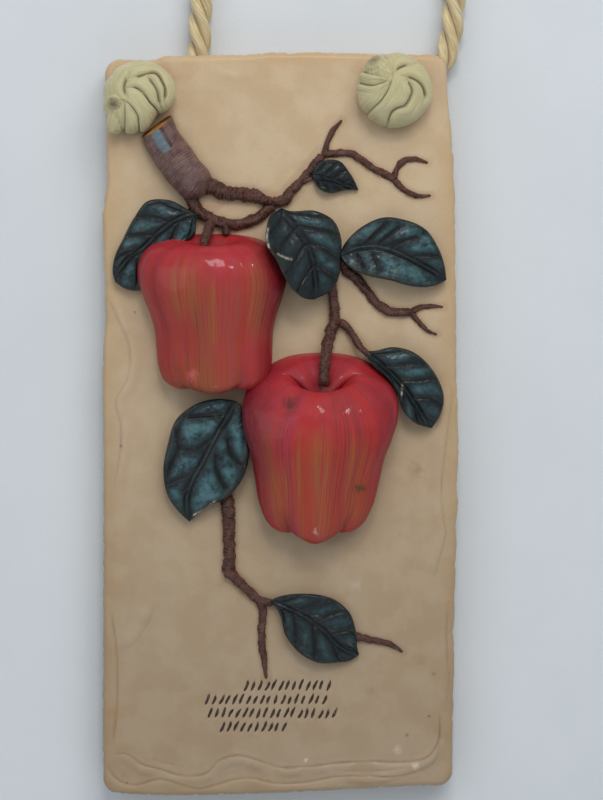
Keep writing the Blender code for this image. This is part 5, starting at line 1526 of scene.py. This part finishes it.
def make_leaf(name, base, tip, bow, left, right, rises, edges):
    """The blade's upper face, with its veins, lip and paint values."""
    length = math.dist(base, tip)
    along = int(length * 3.4 * FINE) + 8
    across = int(34 * FINE)
    forward = (np.array(tip) - np.array(base)) / length
    to_left = np.array([-forward[1], forward[0]])
    share = (0.5 - 0.5 * np.cos(math.pi * np.arange(along + 1) / along))[:, None]
    column = np.arange(-across, across + 1)[None, :]
    out = np.abs(column) / across
    midrib = bow * 4 * share * (1 - share)
    edge = np.where(column < 0, soft_width(share, left), soft_width(share, right))
    offset = midrib + (edge - midrib) * out
    x = base[0] + forward[0] * share * length + to_left[0] * offset
    z = base[1] + forward[1] * share * length + to_left[1] * offset
    spine = rises[0] + (rises[2] - rises[0]) * share + rises[1] * 4 * share * (1 - share)
    lift = np.where(column < 0, edges[0], edges[1]) * out**2 * np.sin(math.pi * np.clip(share, 0, 1)) ** 0.5
    places = np.stack([x, z], axis=-1)
    gap_midrib = nearest_line(places, [smooth_through(MIDRIBS[name], 40)])[0]
    gap_vein = side_vein_gap(name, places, share, out, length)
    fade = np.minimum(1.0, 7 * share * (1 - share)) * np.clip((1.02 - out) / 0.12, 0, 1) ** 0.5
    veins = np.minimum(vein_form(gap_vein), midrib_form(gap_midrib) + 0.2)
    near_midrib = hump(gap_midrib, 0.6)
    veins = veins * (1 - near_midrib) + midrib_form(gap_midrib) * near_midrib
    lip = LEAF_LIP * hump(out - 0.93, 0.07) + 0.5 * out**3 * waves(places, 11.0, 71)
    rise = spine + lift + fade * veins - 0.35 * MIDRIB_SINK * np.clip(1 - 3 * out, 0, 1)
    rise = rise + lip * np.sin(math.pi * share) + 0.05 * waves(places, 2.6, 81)
    grooves = np.maximum(hump(gap_vein, 0.6), hump(gap_midrib - 0.75, 0.5)) * fade
    halves = BRUSHED_HALVES.get(name, (1.0, 1.0))
    open_blade = (np.clip((gap_vein - 0.7) / 2.2, 0, 1) * np.clip((gap_midrib - 1.0) / 2.5, 0, 1)
                  * np.clip((1 - out) * 3, 0, 1))
    raised = np.clip(0.35 * hump(gap_midrib, 0.35) + open_blade, 0, 1) * fade
    raised = raised * np.where(column < 0, halves[0], halves[1])
    # Pale edge marks: bare casting on the lower right leaf, painted highlights on the others.
    chip_and_highlight_mask = 0 * x
    if name in CHIPS_AND_HIGHLIGHTS:
        broken = np.clip(0.8 + 0.6 * waves(places, 1.6, 91), 0, 1)
        chip_and_highlight_mask = hump(nearest_line(places, CHIPS_AND_HIGHLIGHTS[name])[0], CHIP_AND_HIGHLIGHT_HALF) * broken
    rim = np.clip((out - 0.9) / 0.1, 0, 1) + 0 * x
    return closed_leaf(name, x, z, rise, {
        "hollow": (grooves, 0.6), "raised": (raised, 0.0), "rim": (rim, 1.0), "chip_and_highlight": (chip_and_highlight_mask, 0.0)})


def closed_leaf(name, x, z, rise, values):
    """Closes the blade with two rings at its rim and a lower face in the slab.

    Each value is given for the upper face, with one number for all that lies below it.
    """
    index = np.arange(x.size).reshape(x.shape)
    rim = np.concatenate([index[:, 0], index[-1, 1:], index[-2::-1, -1], index[0, -2:0:-1]])
    upper = np.stack([x, z, rise], axis=-1).reshape(-1, 3)
    middle = upper[:, :2].mean(axis=0)
    edge_places = upper[rim]
    outward = edge_places[:, :2] - middle
    outward = outward / np.maximum(np.linalg.norm(outward, axis=1), 1e-6)[:, None]
    rings = [upper]
    for outset, drop in RIM_RINGS:
        rings.append(np.column_stack([edge_places[:, :2] + outward * outset, edge_places[:, 2] - drop]))
    lower = upper.copy()
    lower[:, :2] = middle + (lower[:, :2] - middle) * FOOT_SHARE
    lower[:, 2] = -RELIEF_SINK
    rings.append(lower)
    count = len(rim)
    starts = np.cumsum([0] + [len(ring) for ring in rings])
    loops = [rim, starts[1] + np.arange(count), starts[2] + np.arange(count), starts[3] + rim]
    faces = bridged(*x.shape, closed_ring=False)
    faces += [[starts[3] + corner for corner in reversed(face)] for face in faces]
    for outer, inner in zip(loops, loops[1:]):
        faces += joined(outer, inner)
    everything = np.vstack(rings)
    below = len(everything) - len(upper)
    kept = {key: np.append(value.ravel(), np.full(below, rest)) for key, (value, rest) in values.items()}
    return make_mesh(name, world(*everything.T), faces, kept)


material, tree, shader = new_material("leaf_paint", 0.33, 0.25)
shader.inputs["Specular IOR Level"].default_value = 0.35
colour = mottle(tree, rgb(18, 27, 30), rgb(30, 36, 33), 0.12, 0.6)
colour = dry_brush(tree, colour, rgb(74, 113, 118), "raised", 0.92)
colour = wash(tree, colour, rgb(9, 12, 14), "hollow", 1.0)
colour = dry_brush(tree, colour, rgb(92, 74, 52), "rim", 0.35)
# Pale paint for bare casting on one leaf and for painted highlights on the rims of the others.
colour = wash(tree, colour, rgb(214, 204, 186), "chip_and_highlight", 0.8)
tree.links.new(colour, shader.inputs["Base Color"])
grain(tree, shader, noise(tree, millimetres(tree), 1.4, 4.0), 0.0004, 0.4)
for leaf_name, leaf_facts in LEAVES.items():
    dress(make_leaf(leaf_name, *leaf_facts), material)

# %% [markdown]
# The branch and the twigs are round stems, half sunk in the slab. Their bark is ringed: fine ridges go
# round them about every millimetre, a little unevenly, with dark paint in between and a cold grey
# touch on the ridges. The thick branch is smoother and ends in a slanting cut with pale wood.

# %% Branch and twigs
RING_STEP = 0.86
RING_WANDER = 0.38
CUT_LEAN = math.radians(12)
CUT_SLOPE = 1.35
TAPER = 5.0
THIN_END = 0.95
PLAIN_RING_DEPTH = 0.27
ARM_RING_DEPTH = 0.32
BRANCH_RING_DEPTH = 0.02
# The peeled patch and the slit in the branch's bark, as lines of x and z.
PEELED = ((-41.9, 98.4), (-40.5, 95.8), (-38.0, 91.6))
SLIT = ((-39.9, 98.4), (-38.8, 96.8), (-36.1, 92.2))
SLIT_DEPTH = 0.9


def ring_form(run, turn, seed, depth):
    """Uneven ridges round a stem, and how deep each place lies between them."""
    places = np.stack([run + 0 * turn, 2.2 * np.cos(turn) + 0 * run, 2.2 * np.sin(turn) + 0 * run], axis=-1)
    phase = (run + RING_WANDER * waves(places, 5.0, seed)) / RING_STEP
    ridge = np.abs(np.sin(math.pi * phase)) ** 0.8
    strength = np.clip(0.7 + 0.7 * waves(places, 2.8, seed + 1), 0.15, 1.7)
    knobs = 0.15 * waves(places, 4.0, seed + 2) + 0.08 * waves(places, 1.4, seed + 3)
    between = np.clip((1 - 1.5 * ridge) * strength * 1.2, 0, 1)
    return depth * strength * (ridge - 0.75) + knobs * min(1.0, 5 * depth), between


def round_end(reach, radius):
    """How far a stem's radius has grown at a reach from its rounded end."""
    return np.sqrt(np.clip(1 - (1 - np.clip(reach / radius, 0, 1)) ** 2, 0.02, 1))


def make_stem(name, stations, around, ring_depth, seed, lean=0.0):
    """A ringed stem with rounded ends, or with a slanting cut at its start where it has a lean."""
    length = run_along(np.array(stations)[:, :2])[-1]
    path = smooth_through(stations, max(8, int(length / (0.27 / FINE))))
    ahead = way_along(path[:, :2])
    side = np.column_stack([ahead[:, 1], -ahead[:, 0]])
    run = run_along(path[:, :2])[:, None]
    turn = full_turn(around)[None, :]
    form, between = ring_form(run, turn, seed, ring_depth)
    radius = path[:, 3][:, None] * (1 + form)
    if path[-1, 3] < THIN_END:
        radius = radius * (0.5 + 0.5 * np.clip((length - run) / TAPER, 0, 1))
    radius = radius * round_end(length - run, 0.9 * path[-1, 3])
    if lean == 0.0:
        radius = radius * round_end(run, 0.8 * path[0, 3])
    begin = np.clip(1 - run / (2.5 * path[0, 3]), 0, 1) * math.tan(lean)
    across = radius * np.cos(turn)
    set_back = across * begin + radius * np.sin(turn) * begin * CUT_SLOPE
    x = path[:, 0][:, None] + side[:, 0][:, None] * across + ahead[:, 0][:, None] * set_back
    z = path[:, 1][:, None] + side[:, 1][:, None] * across + ahead[:, 1][:, None] * set_back
    rise = path[:, 2][:, None] + radius * np.sin(turn)
    return make_mesh(name, world(x, z, rise), capped_tube(len(path), around), {
        "hollow": between, "raised": (1 - between) ** 2, "peel": 0 * x})


def twig_material(name, base, patch, ring, ridge, roughness):
    """Bark paint, darker between the rings, lighter on them, and grey blue where the bark is peeled."""
    material, tree, shader = new_material(name, roughness, 0.12)
    colour = mottle(tree, base, patch, 0.22, 0.7)
    colour = wash(tree, colour, ring, "hollow", 0.95)
    colour = dry_brush(tree, colour, ridge, "raised", 0.5)
    colour = wash(tree, colour, rgb(98, 120, 128), "peel", 0.9)
    tree.links.new(colour, shader.inputs["Base Color"])
    grain(tree, shader, noise(tree, millimetres(tree), 1.8, 4.0), 0.0004, 0.5)
    return material


twig_paint = twig_material("twig_paint", rgb(86, 44, 28), rgb(56, 33, 26), rgb(24, 13, 10),
                           rgb(116, 84, 74), 0.5)
branch_paint = twig_material("branch_paint", rgb(106, 70, 62), rgb(76, 54, 54), rgb(30, 19, 18),
                             rgb(150, 126, 120), 0.42)
for number, (stem_name, stem_points) in enumerate(STEMS.items()):
    thick = max(point[3] for point in stem_points)
    corners = int((28 if thick > 1.5 else 20) * max(FINE, 0.7))
    ring_depth = ARM_RING_DEPTH if "arm" in stem_name else PLAIN_RING_DEPTH
    dress(make_stem(stem_name, stem_points, corners, ring_depth, 100 + 5 * number), twig_paint)

# %% [markdown]
# The thick branch is one more stem, with faint rings. Its bark is peeled off in one long patch beside
# the cut, and a slit runs along it, so both are stored as values and the slit is also pressed in.

# %% Thick branch
branch = make_stem("branch", BRANCH, int(120 * FINE), BRANCH_RING_DEPTH, 300, lean=CUT_LEAN)
branch_places = places_of(branch)[:, ::2]
peel_edge = 1.5 + 0.2 * waves(branch_places, 3.5, 9)
peel = hump(np.maximum(nearest_line(branch_places, [PEELED])[0] - peel_edge, 0), 0.45)
slit = hump(nearest_line(branch_places, [SLIT])[0], 0.55)
for vertex, depth in zip(branch.data.vertices, slit):
    vertex.co.y += SLIT_DEPTH * MM * depth
between_rings = np.zeros(len(branch_places), np.float32)
branch.data.attributes["hollow"].data.foreach_get("value", between_rings)
keep_value(branch.data, "peel", peel * (1 - slit))
keep_value(branch.data, "hollow", np.maximum(between_rings * 0.6, 1.3 * slit))
dress(branch, branch_paint)

# %% [markdown]
# The branch's cut end is pale wood, with painted shade where its two notches are. It is a thin lens over
# the slanting end, and its rings follow the same slant.


# %% Cut face of the branch
# The rings of the lens: share of the branch's radius, and how far it stands out of the cut.
CUT_RINGS = ((0.97, -0.15), (0.95, 0.05), (0.85, 0.18), (0.6, 0.26), (0.3, 0.3), (0.03, 0.31))


def cut_face():
    """A thin lens of pale wood over the branch's cut end."""
    stations = np.array(BRANCH)
    ahead = stations[1, :2] - stations[0, :2]
    ahead /= np.linalg.norm(ahead)
    side = np.array([ahead[1], -ahead[0]])
    turn = full_turn(72)
    rings = []
    for share, out in CUT_RINGS:
        across = stations[0, 3] * share * np.cos(turn)
        rough = out + 0.06 * np.sin(7 * turn + 9 * share)
        slope = (across + CUT_SLOPE * stations[0, 3] * share * np.sin(turn)) * math.tan(CUT_LEAN)
        x = stations[0, 0] + side[0] * across + ahead[0] * (slope - rough)
        z = stations[0, 1] + side[1] * across + ahead[1] * (slope - rough)
        rings.append(world(x, z, stations[0, 2] + stations[0, 3] * share * np.sin(turn)))
    # Painted shade at the two notches, on either side of the lens.
    notch_shade = hump(np.abs(np.cos(turn)) - 1.0, 0.16)
    return make_mesh("branch_cut_face", np.vstack(rings), capped_tube(len(rings), len(turn)),
                     {"hollow": np.tile(notch_shade, (len(rings), 1))})


material, tree, shader = new_material("cut_wood_paint", 0.5)
colour = mottle(tree, rgb(184, 128, 62), rgb(146, 90, 46), 0.5, 0.7)
# Painted shade in the notches.
colour = wash(tree, colour, rgb(40, 26, 22), "hollow", 1.0)
tree.links.new(colour, shader.inputs["Base Color"])
grain(tree, shader, noise(tree, millimetres(tree), 2.0), 0.0003, 0.4)
dress(cut_face(), material)

# %% [markdown]
# Last, the size of the finished model is printed beside that of the CAD solids, so that the two
# can be compared.

# %% Print the sizes
boxes = {"cad": cad_box, "visual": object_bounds()}
boxes = {name: [list(corner) for corner in box] for name, box in boxes.items()}
for name, box in boxes.items():
    print(name, "box", [[round(value, 4) for value in corner] for corner in box])
